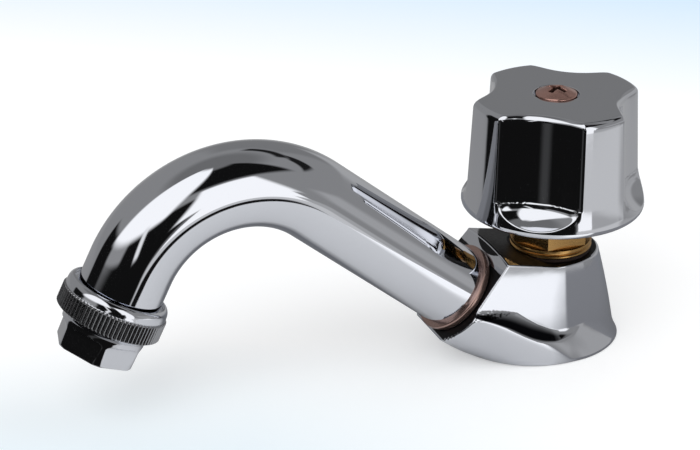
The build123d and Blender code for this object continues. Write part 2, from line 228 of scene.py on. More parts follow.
# %% Helpers for metals and for plain stuff
def patches_and_bump(tree, grain_mm, bump_mm, stretch=(1, 1, 1)):
    """A pattern of patches as wide as grain_mm, and the low bump that it makes on the surface."""
    place = add_node(tree, "ShaderNodeTexCoord").outputs["Object"]
    spread = add_node(tree, "ShaderNodeMapping", {"Vector": place, "Scale": stretch}).outputs["Vector"]
    patches = add_node(tree, "ShaderNodeTexNoise", {"Vector": spread, "Scale": 1 / (grain_mm * MILLIMETRE)})
    bump = add_node(tree, "ShaderNodeBump", {
        "Height": patches.outputs["Fac"], "Strength": 1.0, "Distance": bump_mm * MILLIMETRE,
    })
    return patches.outputs["Fac"], bump.outputs["Normal"]


def metal(name, colour, roughness, spread, grain_mm, bump_mm, stretch=(1, 1, 1), oxide=0.0):
    """A bare or plated metal, whose roughness varies in patches by spread to either side.

    Oxide is the share of its surface that scatters light as a matt skin does."""
    finish, tree, output = new_finish(name)
    patches, normal = patches_and_bump(tree, grain_mm, bump_mm, stretch)
    rough = add_node(tree, "ShaderNodeMapRange", {
        "Value": patches, "To Min": roughness - spread, "To Max": roughness + spread,
    })
    shader = add_node(tree, "ShaderNodeBsdfPrincipled", {
        "Base Color": linear(colour), "Metallic": 1.0 - oxide, "Roughness": rough.outputs["Result"],
        "Normal": normal,
    })
    tree.links.new(shader.outputs["BSDF"], output.inputs["Surface"])
    return finish


def plain(name, colour, roughness, grain_mm, bump_mm):
    """A matt rubber, fibre or plastic with a fine moulded grain."""
    finish, tree, output = new_finish(name)
    _, normal = patches_and_bump(tree, grain_mm, bump_mm)
    shader = add_node(tree, "ShaderNodeBsdfPrincipled", {
        "Base Color": linear(colour), "Roughness": roughness, "Normal": normal,
    })
    tree.links.new(shader.outputs["BSDF"], output.inputs["Surface"])
    return finish


# %% [markdown]
# ## Chromium plate
# Chromium plate over polished brass and nickel is a mirror with a very slight blue. What differs from piece
# to piece is how flat the metal under it is. One plate for all pieces would be quicker, but then the tap
# looks drawn and not made.

# %% The chromed finishes
# A drawn tube is nearly perfect: sharp reflections, with waves far apart.
chrome_on_tube = metal(
    "chrome_plate_on_drawn_tube", "E4E6EC", roughness=0.035, spread=0.01, grain_mm=9.0, bump_mm=0.004
)
# Cast and hand-polished pieces have faint waves, which make the edges of a reflection wander.
chrome_on_casting = metal(
    "chrome_plate_on_polished_knob", "E2E4EA", roughness=0.05, spread=0.015, grain_mm=7.0, bump_mm=0.012
)
chrome_on_body = metal(
    "chrome_plate_on_polished_body", "E2E4EA", roughness=0.06, spread=0.015, grain_mm=7.0, bump_mm=0.014
)
# Turned pieces are flat but less polished, so their reflections are a little soft.
chrome_on_turning = metal(
    "chrome_plate_on_turned_brass", "E0E2E8", roughness=0.06, spread=0.02, grain_mm=4.0, bump_mm=0.004
)
# Knurling holds soap and grease, and stays dull.
chrome_on_knurl = metal(
    "greasy_chrome_on_knurl", "A2A3A6", roughness=0.24, spread=0.05, grain_mm=1.0, bump_mm=0.004
)
print("chromed finishes:", [material.name for material in bpy.data.materials if "chrome" in material.name])

# %% [markdown]
# ## Bare metals
# Bare brass is turned, so its grain runs round the piece: the pattern is stretched along the turning marks.
# The real marks are about 0.1 mm apart, too fine to show, and are drawn 0.4 mm apart. Copper and the
# coppered screw have a thin brown oxide, which is why a share of their surface is matt.

# %% The bare metals
ROUND_THE_PIECE = (0.2, 0.2, 3.0)

# Warm and half dull, as a lathe leaves it.
turned_brass = metal(
    "bare_turned_brass", "C49A60", roughness=0.27, spread=0.06, grain_mm=1.2, bump_mm=0.01,
    stretch=ROUND_THE_PIECE,
)
# Annealed copper is soft and brown, with a blurred shine.
annealed_copper = metal(
    "annealed_copper_ring", "B0938A", roughness=0.2, spread=0.06, grain_mm=1.5, bump_mm=0.02, oxide=0.12
)
# Steel with a thin coat of copper, rubbed by hands.
coppered_steel = metal(
    "coppered_screw", "BE958A", roughness=0.19, spread=0.06, grain_mm=0.8, bump_mm=0.01, oxide=0.12
)
# The cross recess is painted a dark brown: painted shade in the recess.
recess_shade_finish = metal(
    "painted_shade_in_screw_recess", "4A332D", roughness=0.4, spread=0.1, grain_mm=0.5, bump_mm=0.02, oxide=0.3
)
# Two turned faces of the body are dull, and painted dark grey as the shade under the knob and beside the
# ring.
shaded_turned_face = metal(
    "dull_face_painted_dark", "2C2C2E", roughness=0.42, spread=0.1, grain_mm=0.8, bump_mm=0.01
)
# Woven wire, far too fine to show, is a dull grey with patches as wide as a few wires.
screen_steel = metal("woven_steel_wire", "9A9C9E", roughness=0.35, spread=0.05, grain_mm=0.4, bump_mm=0.02)
print("finishes so far:", len(bpy.data.materials))

# %% [markdown]
# ## Rubber, fibre and plastic
# These sit between or inside the metal pieces. They are matt, and a moulded or pressed grain is all that
# sets them apart from a flat colour.

# %% The soft and plain finishes
# Moulded rubber: nearly black, with a skin like fine paper.
seal_rubber = plain("black_seal_rubber", "1C1C1D", roughness=0.6, grain_mm=0.3, bump_mm=0.01)
# Pressed fibre, painted a dark red brown as the shade in the gap under the knob.
pressed_fibre = plain("pressed_fibre", "2A1C18", roughness=0.8, grain_mm=0.2, bump_mm=0.02)
# The inside of a casting keeps the sand's grain. No light reaches it, so it is painted nearly black as shade;
# the copper ring's gap gets the same painted shade.
black_shade_finish = plain("painted_black_shade", "1E1E1F", roughness=0.7, grain_mm=0.8, bump_mm=0.03)
# Plaited packing has strands about half a millimetre wide.
plaited_packing = plain("plaited_packing", "C9C4B4", roughness=0.8, grain_mm=0.6, bump_mm=0.05)
# Moulded acetal is white with a soft shine.
white_acetal = plain("white_acetal", "E4E6E6", roughness=0.35, grain_mm=0.5, bump_mm=0.004)
print("finishes:", [material.name for material in bpy.data.materials])

# %% [markdown]
# ## The body
# A casting in one piece. A tower carries the valve, a block with flat sides runs from it to the inclined
# spout face, and a flared oval foot climbs under the block to meet the same face. It could be built from
# solids with bevelled joints. But seen from the valve axis, each direction and height meets the outer skin
# once. So the skin is a ring that is extruded upwards row by row, and a function says how far out each point
# lies. The next cells give the distance to one surface each.

# %% Where the valve and the spout sit
RIM_HEIGHT = 26.5
RISE = math.radians(39.2)
FACE_CENTRE = Vector((-27.5, 0, 18.4))
ALONG_SPOUT = Vector((-math.cos(RISE), 0, math.sin(RISE)))
UP_THE_FACE = Vector((math.sin(RISE), 0, math.cos(RISE)))
# Where a surface is seen nearly along itself, these keep a division away from zero.
LEAST_SINE, LEAST_COSINE = 0.05, 0.02
print("the spout climbs at", round(math.degrees(RISE), 1), "degrees, from", FACE_CENTRE)

# %% The tower and the block
# How far the tower reaches behind the valve, at the deck and at the rim, and how far it swells between.
TOWER_FOOT, TOWER_RIM, TOWER_BULGE = 19.0, 13.0, 0.45
# The tower's oval is centred this far in front of the valve, where the block's straight sides begin.
TOWER_SHIFT = 2.2
# Half the block's width at the deck. At the rim it is as wide as the tower.
BLOCK_FOOT = 16.0
# How far in front of the valve the block ends, at a few heights: it hangs out over the foot.
BLOCK_END_HEIGHTS = (0.0, 5.2, 15.8, 16.8)
BLOCK_ENDS = (0.8, 8.0, 29.6, 60.0)


def block_reach(angles, heights):
    """The tower and the block: half an ellipse at the back and straight, tapered sides in front."""
    taper = heights / RIM_HEIGHT
    half_width = BLOCK_FOOT + (TOWER_RIM - BLOCK_FOOT) * taper
    back = TOWER_FOOT + (TOWER_RIM - TOWER_FOOT) * taper + TOWER_BULGE * 4 * taper * (1 - taper)
    cosine, sine = np.cos(angles), np.abs(np.sin(angles))
    length = back + TOWER_SHIFT
    slope = (cosine / length) ** 2 + (sine / half_width) ** 2
    offset = cosine * TOWER_SHIFT / length ** 2
    inside = np.maximum(offset ** 2 - slope * ((TOWER_SHIFT / length) ** 2 - 1), 0)
    tower = (np.sqrt(inside) - offset) / slope
    sides = half_width / np.maximum(sine, LEAST_SINE)
    ends = np.interp(heights, BLOCK_END_HEIGHTS, BLOCK_ENDS) / np.maximum(-cosine, LEAST_COSINE)
    return np.where(sides * cosine >= -TOWER_SHIFT, tower, np.minimum(sides, ends))


print("the block is", 2 * BLOCK_FOOT, "wide at the deck and", 2 * TOWER_RIM, "at the rim")

# %% The foot
# The oval on the deck, and how far it is centred in front of the valve.
FOOT_LENGTH, FOOT_WIDTH, FOOT_SHIFT = 43.6, 37.0, 2.8
BOSS_RADIUS = 15.6
# The flare is made of this many straight lines, which run on a little past the boss.
FLARE_LINES, FLARE_STRETCH = 361, 1.25


def foot_reach(angles, heights):
    """The flared foot: straight lines from the oval at the deck to the round boss behind the spout face."""
    around = np.linspace(0, math.pi, FLARE_LINES)[None, :]
    boss_x = FACE_CENTRE.x + BOSS_RADIUS * UP_THE_FACE.x * np.cos(around)
    boss_z = FACE_CENTRE.z + BOSS_RADIUS * UP_THE_FACE.z * np.cos(around)
    share = np.clip(heights[:, None] / boss_z, 0, FLARE_STRETCH)
    x = (1 - share) * (-FOOT_SHIFT + FOOT_LENGTH / 2 * np.cos(around)) + share * boss_x
    y = ((1 - share) * FOOT_WIDTH / 2 + share * BOSS_RADIUS) * np.sin(around)
    bearing = np.arctan2(y, x)
    wanted = np.abs(np.arctan2(np.sin(angles), np.cos(angles)))[:, None]
    after = np.clip((bearing < wanted).sum(1), 1, around.size - 1)
    rows = np.arange(len(angles))
    low, high = bearing[rows, after - 1], bearing[rows, after]
    mix = np.clip((wanted[:, 0] - low) / np.maximum(high - low, 1e-9), 0, 1)
    reach = np.hypot(x, y)
    return reach[rows, after - 1] * (1 - mix) + reach[rows, after] * mix


# %% The ledge over the foot
# Where the foot ends, seen from the side: heights at places along the tap. It is lowest
# under the valve's front and climbs both ways.
LEDGE_PLACES = (-32.0, -28.9, -24.7, -20.0, -15.0, -11.5, -7.6, -4.5, 0.0, 3.0, 6.0, 9.0, 13.0)
LEDGE_HEIGHTS = (18.8, 16.9, 15.2, 12.9, 9.9, 8.1, 6.9, 6.6, 7.3, 9.2, 13.0, 18.5, 26.0)
# How far the ledge draws in for each millimetre of height, and how soft its outer corner is.
LEDGE_SLOPE, LEDGE_CORNER = 0.85, 0.2


def shoulder_height(foot, angles):
    """Where the foot ends and the sloping ledge begins, for a foot that reaches this far."""
    return np.interp(foot * np.cos(angles), LEDGE_PLACES, LEDGE_HEIGHTS)


print("the ledge is lowest at", min(LEDGE_HEIGHTS), "and highest at", max(LEDGE_HEIGHTS))

# %% The body's outer skin
FOOT_EDGE = 0.9
# The hollow over the ledge is tight on the spout's side, and grows softer between these two places.
CREASE_BLEND, SOFTER_BLEND, GROWS_SOFTER = 1.2, 3.2, (-6, 5)
UNDERSIDE_EDGE, FACE_EDGE = 1.2, 0.5
BOSS_UNDERSIDE = 12.9
boss_tip = FACE_CENTRE - UP_THE_FACE * BOSS_UNDERSIDE


def body_reach(angles, heights):
    """The outer skin of the whole casting."""
    foot = foot_reach(angles, heights)
    above = heights - shoulder_height(foot, angles)
    blend = CREASE_BLEND + SOFTER_BLEND * soft_step(foot * np.cos(angles), *GROWS_SOFTER)
    foot = foot - LEDGE_SLOPE * LEDGE_CORNER * np.logaddexp(0, above / LEDGE_CORNER)
    reach = smooth_max(block_reach(angles, heights), foot, blend)
    towards_spout = np.maximum(-np.cos(angles), LEAST_COSINE)
    face = (-FACE_CENTRE.x - (heights - FACE_CENTRE.z) * math.tan(RISE)) / towards_spout
    underside = (-boss_tip.x + (heights - boss_tip.z) / math.tan(RISE)) / towards_spout
    reach = smooth_min(reach, underside, UNDERSIDE_EDGE)
    reach = smooth_min(reach, face, FACE_EDGE)
    rounding = np.clip(1 - heights / FOOT_EDGE, 0, 1)
    return reach - FOOT_EDGE * (1 - np.sqrt(1 - rounding ** 2))


print("the boss reaches", round(boss_tip.x, 2))

# %% The crown
# The top is level round the valve as far as CROWN_START, then climbs to a tip on the spout face.
CROWN_START, CROWN_REACH = 4.0, 14.2
CROWN_BULGE, CROWN_LENGTH, CROWN_CORNER = 0.7, 14, 0.4
crown_tip = FACE_CENTRE + UP_THE_FACE * CROWN_REACH
crown_slope = (crown_tip.z - RIM_HEIGHT) / (-crown_tip.x - CROWN_START)


def crown_height(x, y):
    """The machined top: level round the valve, then climbing to the spout face, and arched across."""
    climb = CROWN_CORNER * np.logaddexp(0, (-x - CROWN_START) / CROWN_CORNER)
    crown = CROWN_BULGE * soft_step(climb, 0, CROWN_LENGTH) * (1 - (y / TOWER_RIM) ** 2)
    return RIM_HEIGHT + crown_slope * climb + crown


print("the crown climbs", round(crown_slope, 3), "for each millimetre")

# %% Directions round the body
BODY_SIDES, CROWDED_SHARE, CROWDED_FROM = 560, 0.6, math.radians(122)
RIM_EDGE, FAR_RIM_EDGE = 0.45, 1.1


def crowded_angles(count, crowd_share, crowd_start):
    """Angles round the axis, closer together on the spout's side, where the edges of the spout face run."""
    even = np.linspace(0, 1, count // 2 + 1)
    turn_point = 1 - crowd_share
    half = np.where(
        even < turn_point,
        even / turn_point * crowd_start,
        crowd_start + (even - turn_point) / crowd_share * (math.pi - crowd_start),
    )
    return np.concatenate([half, -half[-2:0:-1]])


body_angles = crowded_angles(BODY_SIDES, CROWDED_SHARE, CROWDED_FROM)
# The rim's edge is softer on the side away from the spout.
rim_edge = RIM_EDGE + (FAR_RIM_EDGE - RIM_EDGE) * soft_step(np.cos(body_angles), 0.2, 0.9)
print("the body has", len(body_angles), "sides")

# %% Heights of the body's rows
# The rim and the ledge depend on how far out the skin lies there, and that depends on their height. A few
# rounds of trying settle both.
FIRST_GUESS, ROUNDS = 8.0, 40
body_top = np.full(body_angles.shape, RIM_HEIGHT)
shoulder = np.full(body_angles.shape, FIRST_GUESS)
for _ in range(ROUNDS):
    reach = body_reach(body_angles, body_top - rim_edge)
    body_top = crown_height(reach * np.cos(body_angles), reach * np.sin(body_angles))
    shoulder = (shoulder + shoulder_height(foot_reach(body_angles, shoulder), body_angles)) / 2

# Rows crowd together at the deck's rounded edge and at the shoulder, which they follow as it climbs.
LEDGE_BAND, CREASE_BAND = 0.6, 4.0
levels = [
    np.full(body_angles.shape, FOOT_EDGE * (1 - math.cos(math.radians(bend)))) for bend in range(0, 91, 15)
]
for low, high, steps in (
    (levels[-1], shoulder - LEDGE_BAND, 26),
    (shoulder - LEDGE_BAND, shoulder + LEDGE_BAND, 10),
    (shoulder + LEDGE_BAND, shoulder + CREASE_BAND, 24),
    (shoulder + CREASE_BAND, body_top - rim_edge, 50),
):
    levels += rows_between(low, high, steps)
print("the body's side has", len(levels), "rows, and its top climbs to", round(body_top.max(), 1))

# %% Rows of the body's outside
SPOT_FACE = 11.8
body_rows = [row_of(body_angles, body_reach(body_angles, heights), heights) for heights in levels]
rim_reach = body_reach(body_angles, body_top - rim_edge)
for radii, heights in over_edge(rim_reach, body_top, rim_edge, range(18, 91, 18)):
    body_rows.append(row_of(body_angles, radii, heights))
for share in np.linspace(0, 1, 19)[1:]:
    radii = (rim_reach - rim_edge) * (1 - share) + SPOT_FACE * share
    heights = crown_height(radii * np.cos(body_angles), radii * np.sin(body_angles))
    body_rows.append(row_of(body_angles, radii, heights))

# %% [markdown]
# The valve's chamber, the raised seat, the port under it and the threaded inlet are turned from above and
# below. Under the foot a shallow oval recess holds the seal. None of it shows, but a skin with a real inside
# is closed, and light can't leak through it.

# %% Rows of the body's inside
CHAMBER_RADIUS, CHAMBER_FLOOR = 8.35, 11.5
SEAT_RADIUS, SEAT_HEIGHT, PORT_RADIUS = 6.3, 13.5, 4.75
INLET_RADIUS, INLET_DEPTH = 9.3, 9.0
RECESS_BOSS, RECESS_DEPTH = 12.7, 2.2
RECESS_HALF_LENGTH, RECESS_HALF_WIDTH = 18.8, 15.5

for radius, height in (
    (SPOT_FACE, RIM_HEIGHT), (CHAMBER_RADIUS, RIM_HEIGHT), (CHAMBER_RADIUS, CHAMBER_FLOOR),
    (SEAT_RADIUS, CHAMBER_FLOOR), (SEAT_RADIUS, SEAT_HEIGHT), (PORT_RADIUS, SEAT_HEIGHT),
    (PORT_RADIUS, INLET_DEPTH), (INLET_RADIUS, INLET_DEPTH), (INLET_RADIUS, 0), (RECESS_BOSS, 0),
    (RECESS_BOSS, RECESS_DEPTH),
):
    body_rows.append(row_of(body_angles, radius, height))
recess = 1 / np.sqrt(
    (np.cos(body_angles) / RECESS_HALF_LENGTH) ** 2 + (np.sin(body_angles) / RECESS_HALF_WIDTH) ** 2
)
for height in (RECESS_DEPTH, 0):
    ring = row_of(body_angles, recess, height)
    ring[:, 0] -= FOOT_SHIFT
    body_rows.append(ring)
body_rows.append(body_rows[0])
print("the body has", len(body_rows), "rows")

# %% [markdown]
# ## Dull, shaded places on the body
# Two turned faces are dull, and painted dark grey as shade and dark reflection: the one round the valve under
# the knob, which reaches up the crown on the spout's side, and the one that the ring is pressed against. They
# get a second material, face by face.

# %% The turned faces
# The turned face reaches DULL_MARGIN past the spot face, and this far on the spout's side of DULL_FRONT.
DULL_MARGIN, DULL_FRONT, DULL_REACH = 1.3, -4, 19.6
# It faces upwards at least this much, and lies no lower than this under the rim's height.
LEAST_UPWARDS, RIM_TOLERANCE = 0.6, 0.1
# The spout's face is dull, and painted dark as shade, up to this height over its centre, and above that its
# plate is left.
DULL_FACE_TOP, FACES_THE_SPOUT = 8.5, 0.995


def on_dull_shaded_face(face):
    """Whether a face of the body lies on the turned face round the valve, or on the one under the ring: both
    are painted as shade.
    """
    middle = face.calc_center_median()
    turned_to = DULL_REACH if middle.x < DULL_FRONT else SPOT_FACE + DULL_MARGIN
    on_top = face.normal.z > LEAST_UPWARDS and middle.z > RIM_HEIGHT - RIM_TOLERANCE
    under_ring = face.normal.dot(ALONG_SPOUT) > FACES_THE_SPOUT and middle.z < FACE_CENTRE.z + DULL_FACE_TOP
    return under_ring or (on_top and math.hypot(middle.x, middle.y) < turned_to)


# %% [markdown]
# In the crease over the foot the chrome is painted dark, as painted shade and a painted dark reflection. The
# crease could be a strip of faces with a material of its own, but it fades out upwards. So it is a mask in
# the
# material: its lower edge and its width are read off two curves, from the place along the tap.

# %% A curve along the tap
def curve_through(tree, value, places, heights):
    """A height in metres, read off a curve through points in millimetres as the value runs along them."""
    low, high, top = places[0], places[-1], max(heights)
    share = add_node(tree, "ShaderNodeMapRange", {
        "Value": value, "From Min": low * MILLIMETRE, "From Max": high * MILLIMETRE,
    })
    curve = add_node(tree, "ShaderNodeFloatCurve", {"Value": share.outputs["Result"]})
    points = curve.mapping.curves[0].points
    points[0].location = (0, heights[0] / top)
    points[1].location = (1, heights[-1] / top)
    for place, height in list(zip(places, heights))[1:-1]:
        points.new((place - low) / (high - low), height / top)
    curve.mapping.update()
    return add_node(tree, "ShaderNodeMath", {
        0: curve.outputs["Value"], 1: top * MILLIMETRE,
    }, operation="MULTIPLY").outputs["Value"]


# %% The painted shade in the crease
# The colour of the painted shade in the crease.
CREASE_SHADE_COLOUR = "16161A"
# The width of the crease at the first places of the ledge.
CREASE_SPREAD = (0.6, 0.9, 1.3, 2.4, 2.9, 2.8, 2.1, 1.0, 0.2)
# In shares of that width above the shoulder: where the dark sets in, and where it fades away.
SETS_IN, FADES_AWAY = (-0.08, 0.12), (0.7, 1.9)
# Along the tap, the crease ends between these two places.
CREASE_ENDS = (-6, 0)


def paint_crease_shade(finish):
    """Paint shade on a polished casting: dark in a band that starts at the foot's shoulder."""
    tree = finish.node_tree
    parts = add_node(tree, "ShaderNodeSeparateXYZ", {
        "Vector": add_node(tree, "ShaderNodeTexCoord").outputs["Object"],
    }).outputs
    count = len(CREASE_SPREAD)
    line = curve_through(tree, parts["X"], LEDGE_PLACES[:count], LEDGE_HEIGHTS[:count])
    spread = curve_through(tree, parts["X"], LEDGE_PLACES[:count], CREASE_SPREAD)
    above = add_node(tree, "ShaderNodeMath", {0: parts["Z"], 1: line}, operation="SUBTRACT").outputs["Value"]
    share = add_node(tree, "ShaderNodeMath", {0: above, 1: spread}, operation="DIVIDE").outputs["Value"]
    rise = add_node(tree, "ShaderNodeMapRange", {
        "Value": share, "From Min": SETS_IN[0], "From Max": SETS_IN[1],
    }).outputs["Result"]
    fall = add_node(tree, "ShaderNodeMapRange", {
        "Value": share, "From Min": FADES_AWAY[0], "From Max": FADES_AWAY[1], "To Min": 1.0, "To Max": 0.0,
    }, interpolation_type="SMOOTHSTEP").outputs["Result"]
    along = add_node(tree, "ShaderNodeMapRange", {
        "Value": parts["X"], "From Min": CREASE_ENDS[0] * MILLIMETRE, "From Max": CREASE_ENDS[1] * MILLIMETRE,
        "To Min": 1.0, "To Max": 0.0,
    }).outputs["Result"]
    band = add_node(tree, "ShaderNodeMath", {0: rise, 1: fall}, operation="MULTIPLY").outputs["Value"]
    dark = add_node(tree, "ShaderNodeMath", {0: band, 1: along}, operation="MULTIPLY").outputs["Value"]
    shader = next(node for node in tree.nodes if node.bl_idname == "ShaderNodeBsdfPrincipled")
    colour = add_node(tree, "ShaderNodeMix", {
        "Factor": dark, "A": tuple(shader.inputs["Base Color"].default_value), "B": linear(CREASE_SHADE_COLOUR),
    }, data_type="RGBA")
    tree.links.new(colour.outputs[2], shader.inputs["Base Color"])


# %% Extrude the body
# The body's chrome gets its painted shade in the crease.
paint_crease_shade(chrome_on_body)
# The turned faces get the dark grey finish, which is painted shade.
settle(
    skin(body_rows), "tap_body", "fixed", ["body"], chrome_on_body, 60,
    shaded_turned_face, on_dull_shaded_face,
)

# %% [markdown]
# ## The spout
# A 22 mm tube with one bend. It could be a curve with a round bevel, but a circle swept as a bender would do
# it has even rows and an exact wall: straight, round the bend's centre, and straight again. Solidify gives it
# its 1 mm wall, inwards.

# %% The line of the spout
TUBE_RADIUS, TUBE_WALL = 11.0, 1.0
RING_THICKNESS = 2.0
TUBE_CLIMB, BEND_RADIUS, TUBE_DROP = 50.4, 32.0, 9.6
BEND_TURN = math.radians(102.9)
SLEEVE_ENGAGEMENT = 3.0

tube_foot = FACE_CENTRE + ALONG_SPOUT * RING_THICKNESS
bend_start = tube_foot + ALONG_SPOUT * TUBE_CLIMB
bend_centre = bend_start - UP_THE_FACE * BEND_RADIUS
outlet_angle = BEND_TURN - RISE
OUTLET_AXIS = Vector((-math.cos(outlet_angle), 0, -math.sin(outlet_angle)))
OUTLET_SIDE = Vector((-math.sin(outlet_angle), 0, math.cos(outlet_angle)))
outlet = bend_centre + OUTLET_SIDE * BEND_RADIUS + OUTLET_AXIS * TUBE_DROP
print("outlet at", [round(value, 2) for value in outlet])


# %% Helpers for swept pieces
def local_frame(origin, across, along):
    """A matrix that puts X along across and Z along along, with its origin at a point."""
    side = along.cross(across)
    return Matrix((
        (across.x, side.x, along.x, origin.x),
        (across.y, side.y, along.y, origin.y),
        (across.z, side.z, along.z, origin.z),
        (0, 0, 0, 1),
    ))


def lengthen(bm, edges, offset, steps):
    """Extrude a ring of edges along a straight line in equal steps."""
    for _ in range(steps):
        ring, edges = extrude_ring(bm, edges)
        bmesh.ops.translate(bm, vec=offset / steps, verts=ring)
    return edges


# %% Sweep the spout
TUBE_SIDES = 144
CLIMB_ROWS, BEND_ROWS, DROP_ROWS = 24, 90, 6
BEND_AXIS = Vector((0, -1, 0))

tube = bmesh.new()
bmesh.ops.create_circle(
    tube, segments=TUBE_SIDES, radius=TUBE_RADIUS, matrix=local_frame(tube_foot, UP_THE_FACE, ALONG_SPOUT)
)
tube_end = lengthen(tube, tube.edges[:], ALONG_SPOUT * TUBE_CLIMB, CLIMB_ROWS)
bent = bmesh.ops.spin(
    tube, geom=tube_end, cent=bend_centre, axis=BEND_AXIS, angle=BEND_TURN, steps=BEND_ROWS, use_merge=False
)["geom_last"]
tube_end = [item for item in bent if isinstance(item, bmesh.types.BMEdge)]
lengthen(tube, tube_end, OUTLET_AXIS * (TUBE_DROP + SLEEVE_ENGAGEMENT), DROP_ROWS)
bmesh.ops.recalc_face_normals(tube, faces=tube.faces)
bmesh.ops.solidify(tube, geom=tube.faces[:], thickness=TUBE_WALL)
settle(tube, "spout", "fixed", ["spout_tube"], chrome_on_tube, 60)

# %% [markdown]
# ## The copper ring
# The spout is sealed against the body by a flat copper ring that stands a little proud of both. Its outer
# corner on the spout's side is worn round, and the one beside the body is only broken. It is turned as on a
# lathe, by spinning half its section. The strip beside the body lies in a narrow gap that no light reaches,
# and is painted nearly black as that shade.

# %% Helpers for turned pieces
def turn(profile, steps):
    """Spin a half outline of (radius, height) points round the Z axis, as a lathe does."""
    bm = bmesh.new()
    points = [bm.verts.new((radius, 0, height)) for radius, height in profile]
    edges = [bm.edges.new(pair) for pair in zip(points, points[1:] + points[:1])]
    bmesh.ops.spin(
        bm, geom=points + edges, cent=(0, 0, 0), axis=(0, 0, 1), angle=math.tau, steps=steps, use_merge=True
    )
    return bm


def rounded(corners, steps):
    """A closed outline of (x, y, radius) corners, with each corner turned into an arc of short edges."""
    outline = []
    for index, (x, y, radius) in enumerate(corners):
        corner = Vector((x, y))
        before = (Vector(corners[index - 1][:2]) - corner).normalized()
        after = (Vector(corners[(index + 1) % len(corners)][:2]) - corner).normalized()
        if radius <= 0:
            outline.append((x, y))
            continue
        half = before.angle(after) / 2
        centre = corner + (before + after).normalized() * radius / math.sin(half)
        start = corner + before * radius / math.tan(half) - centre
        sweep = start.angle_signed(corner + after * radius / math.tan(half) - centre)
        for step in range(steps + 1):
            spoke = start.copy()
            spoke.rotate(Matrix.Rotation(-sweep * step / steps, 2))
            outline.append(tuple(centre + spoke))
    return outline


# %% Turn the copper ring
RING_BORE, RING_FOOT, RING_RADIUS = 8.4, 12.2, 12.4
BROKEN_CORNER, WORN_CORNER, CORNER_STEPS = 0.3, 0.5, 8
RING_SIDES = 180
GAP_DEPTH = 0.29

ring_profile = rounded([
    (RING_BORE, 0, 0), (RING_FOOT, 0, 0), (RING_RADIUS, BROKEN_CORNER, 0),
    (RING_RADIUS, RING_THICKNESS, WORN_CORNER), (RING_BORE, RING_THICKNESS, 0),
], CORNER_STEPS)
ring_bm = turn(ring_profile, RING_SIDES)
bmesh.ops.transform(
    ring_bm, matrix=local_frame(FACE_CENTRE, UP_THE_FACE, ALONG_SPOUT), verts=ring_bm.verts
)


def in_gap(face):
    """Whether a face of the ring lies in the dark gap next to the body."""
    return (face.calc_center_median() - FACE_CENTRE).dot(ALONG_SPOUT) < GAP_DEPTH


# The ring's strip in the gap is painted nearly black as shade.
settle(
    ring_bm, "copper_ring", "fixed", ["spout_washer"], annealed_copper, 60, black_shade_finish, in_gap
)

# %% [markdown]
# ## The aerator housing
# A nozzle with a knurled collar. Knurling is rolled into the blank as fine upright ribs, and six flats at
# the end take a wrench. A bump map could fake the ribs, but they show on the collar's outline. It is the
# same kind of skin as the body, drawn in the outlet's own frame, from the shoulder down to the mouth.

# %% Sizes of the collar
COLLAR_RADIUS, COLLAR_HEIGHT = 13.9, 5.4
# The plain shoulder over the collar: its radius, its height, and the two half axes of its rounded edge.
SHOULDER_RADIUS, SHOULDER_RISE = 13.4, 3.0
SHOULDER_EDGE, SHOULDER_CROWN = 1.3, 2.0
HOUSING_BORE, BORE_CHAMFER = 12.05, 0.3
KNURL_COUNT, KNURL_DEPTH, POINTS_PER_RIB, RIB_SHAPE = 78, 0.42, 8, 1.3
# The ribs start this far in from each end of the collar, and run out almost to nothing there.
KNURL_CHAMFER, KNURL_MARGIN, RUNOUT_RADIUS, RUNOUT_DEPTH = 0.35, 0.45, 0.05, 0.1
GROOVE = 0.12

collar_angles = np.linspace(0, math.tau, KNURL_COUNT * POINTS_PER_RIB, endpoint=False)
rib = np.abs(np.sin(collar_angles * KNURL_COUNT / 2)) ** RIB_SHAPE


def collar_row(radius, height, knurl=0.0):
    """One row of the housing, with the ribs as deep as knurl says."""
    return row_of(collar_angles, radius - knurl * KNURL_DEPTH * (1 - rib), height)


print("the ribs are", round(math.tau * COLLAR_RADIUS / KNURL_COUNT, 2), "mm apart")

# %% Rows of the collar
housing_rows = [collar_row(HOUSING_BORE, -SHOULDER_RISE + BORE_CHAMFER)]
for degrees in range(-90, 1, 15):
    bend = math.radians(degrees)
    housing_rows.append(collar_row(
        SHOULDER_RADIUS - SHOULDER_EDGE + SHOULDER_EDGE * math.cos(bend),
        -SHOULDER_RISE + SHOULDER_CROWN + SHOULDER_CROWN * math.sin(bend),
    ))
# Between the shoulder's edge and the groove the wall opens a little.
WALL_START, WALL_RISE, WALL_SPREAD = -0.95, 0.65, 0.08
for share in (0.25, 0.5, 0.75, 1):
    housing_rows.append(collar_row(SHOULDER_RADIUS + WALL_SPREAD * share, WALL_START + WALL_RISE * share))
housing_rows.append(collar_row(SHOULDER_RADIUS - GROOVE, -GROOVE))
housing_rows.append(collar_row(SHOULDER_RADIUS - RUNOUT_RADIUS, 0.0, RUNOUT_DEPTH))
housing_rows.append(collar_row(COLLAR_RADIUS, KNURL_CHAMFER, 1.0))
for share in np.linspace(0, 1, 7):
    height = KNURL_MARGIN + (COLLAR_HEIGHT - 2 * KNURL_MARGIN) * share
    housing_rows.append(collar_row(COLLAR_RADIUS, height, 1.0))
housing_rows.append(collar_row(COLLAR_RADIUS, COLLAR_HEIGHT - KNURL_CHAMFER, 1.0))
housing_rows.append(collar_row(SHOULDER_RADIUS - RUNOUT_RADIUS, COLLAR_HEIGHT, RUNOUT_DEPTH))
print("the collar has", len(housing_rows), "rows")

# %% Rows of the nozzle
NOZZLE_TOP, NOZZLE_END, NOZZLE_LENGTH = 11.2, 10.6, 9.2
ACROSS_FLATS, FLAT_LENGTH, FLAT_RUNOUT = 19.4, 6.4, 1.6
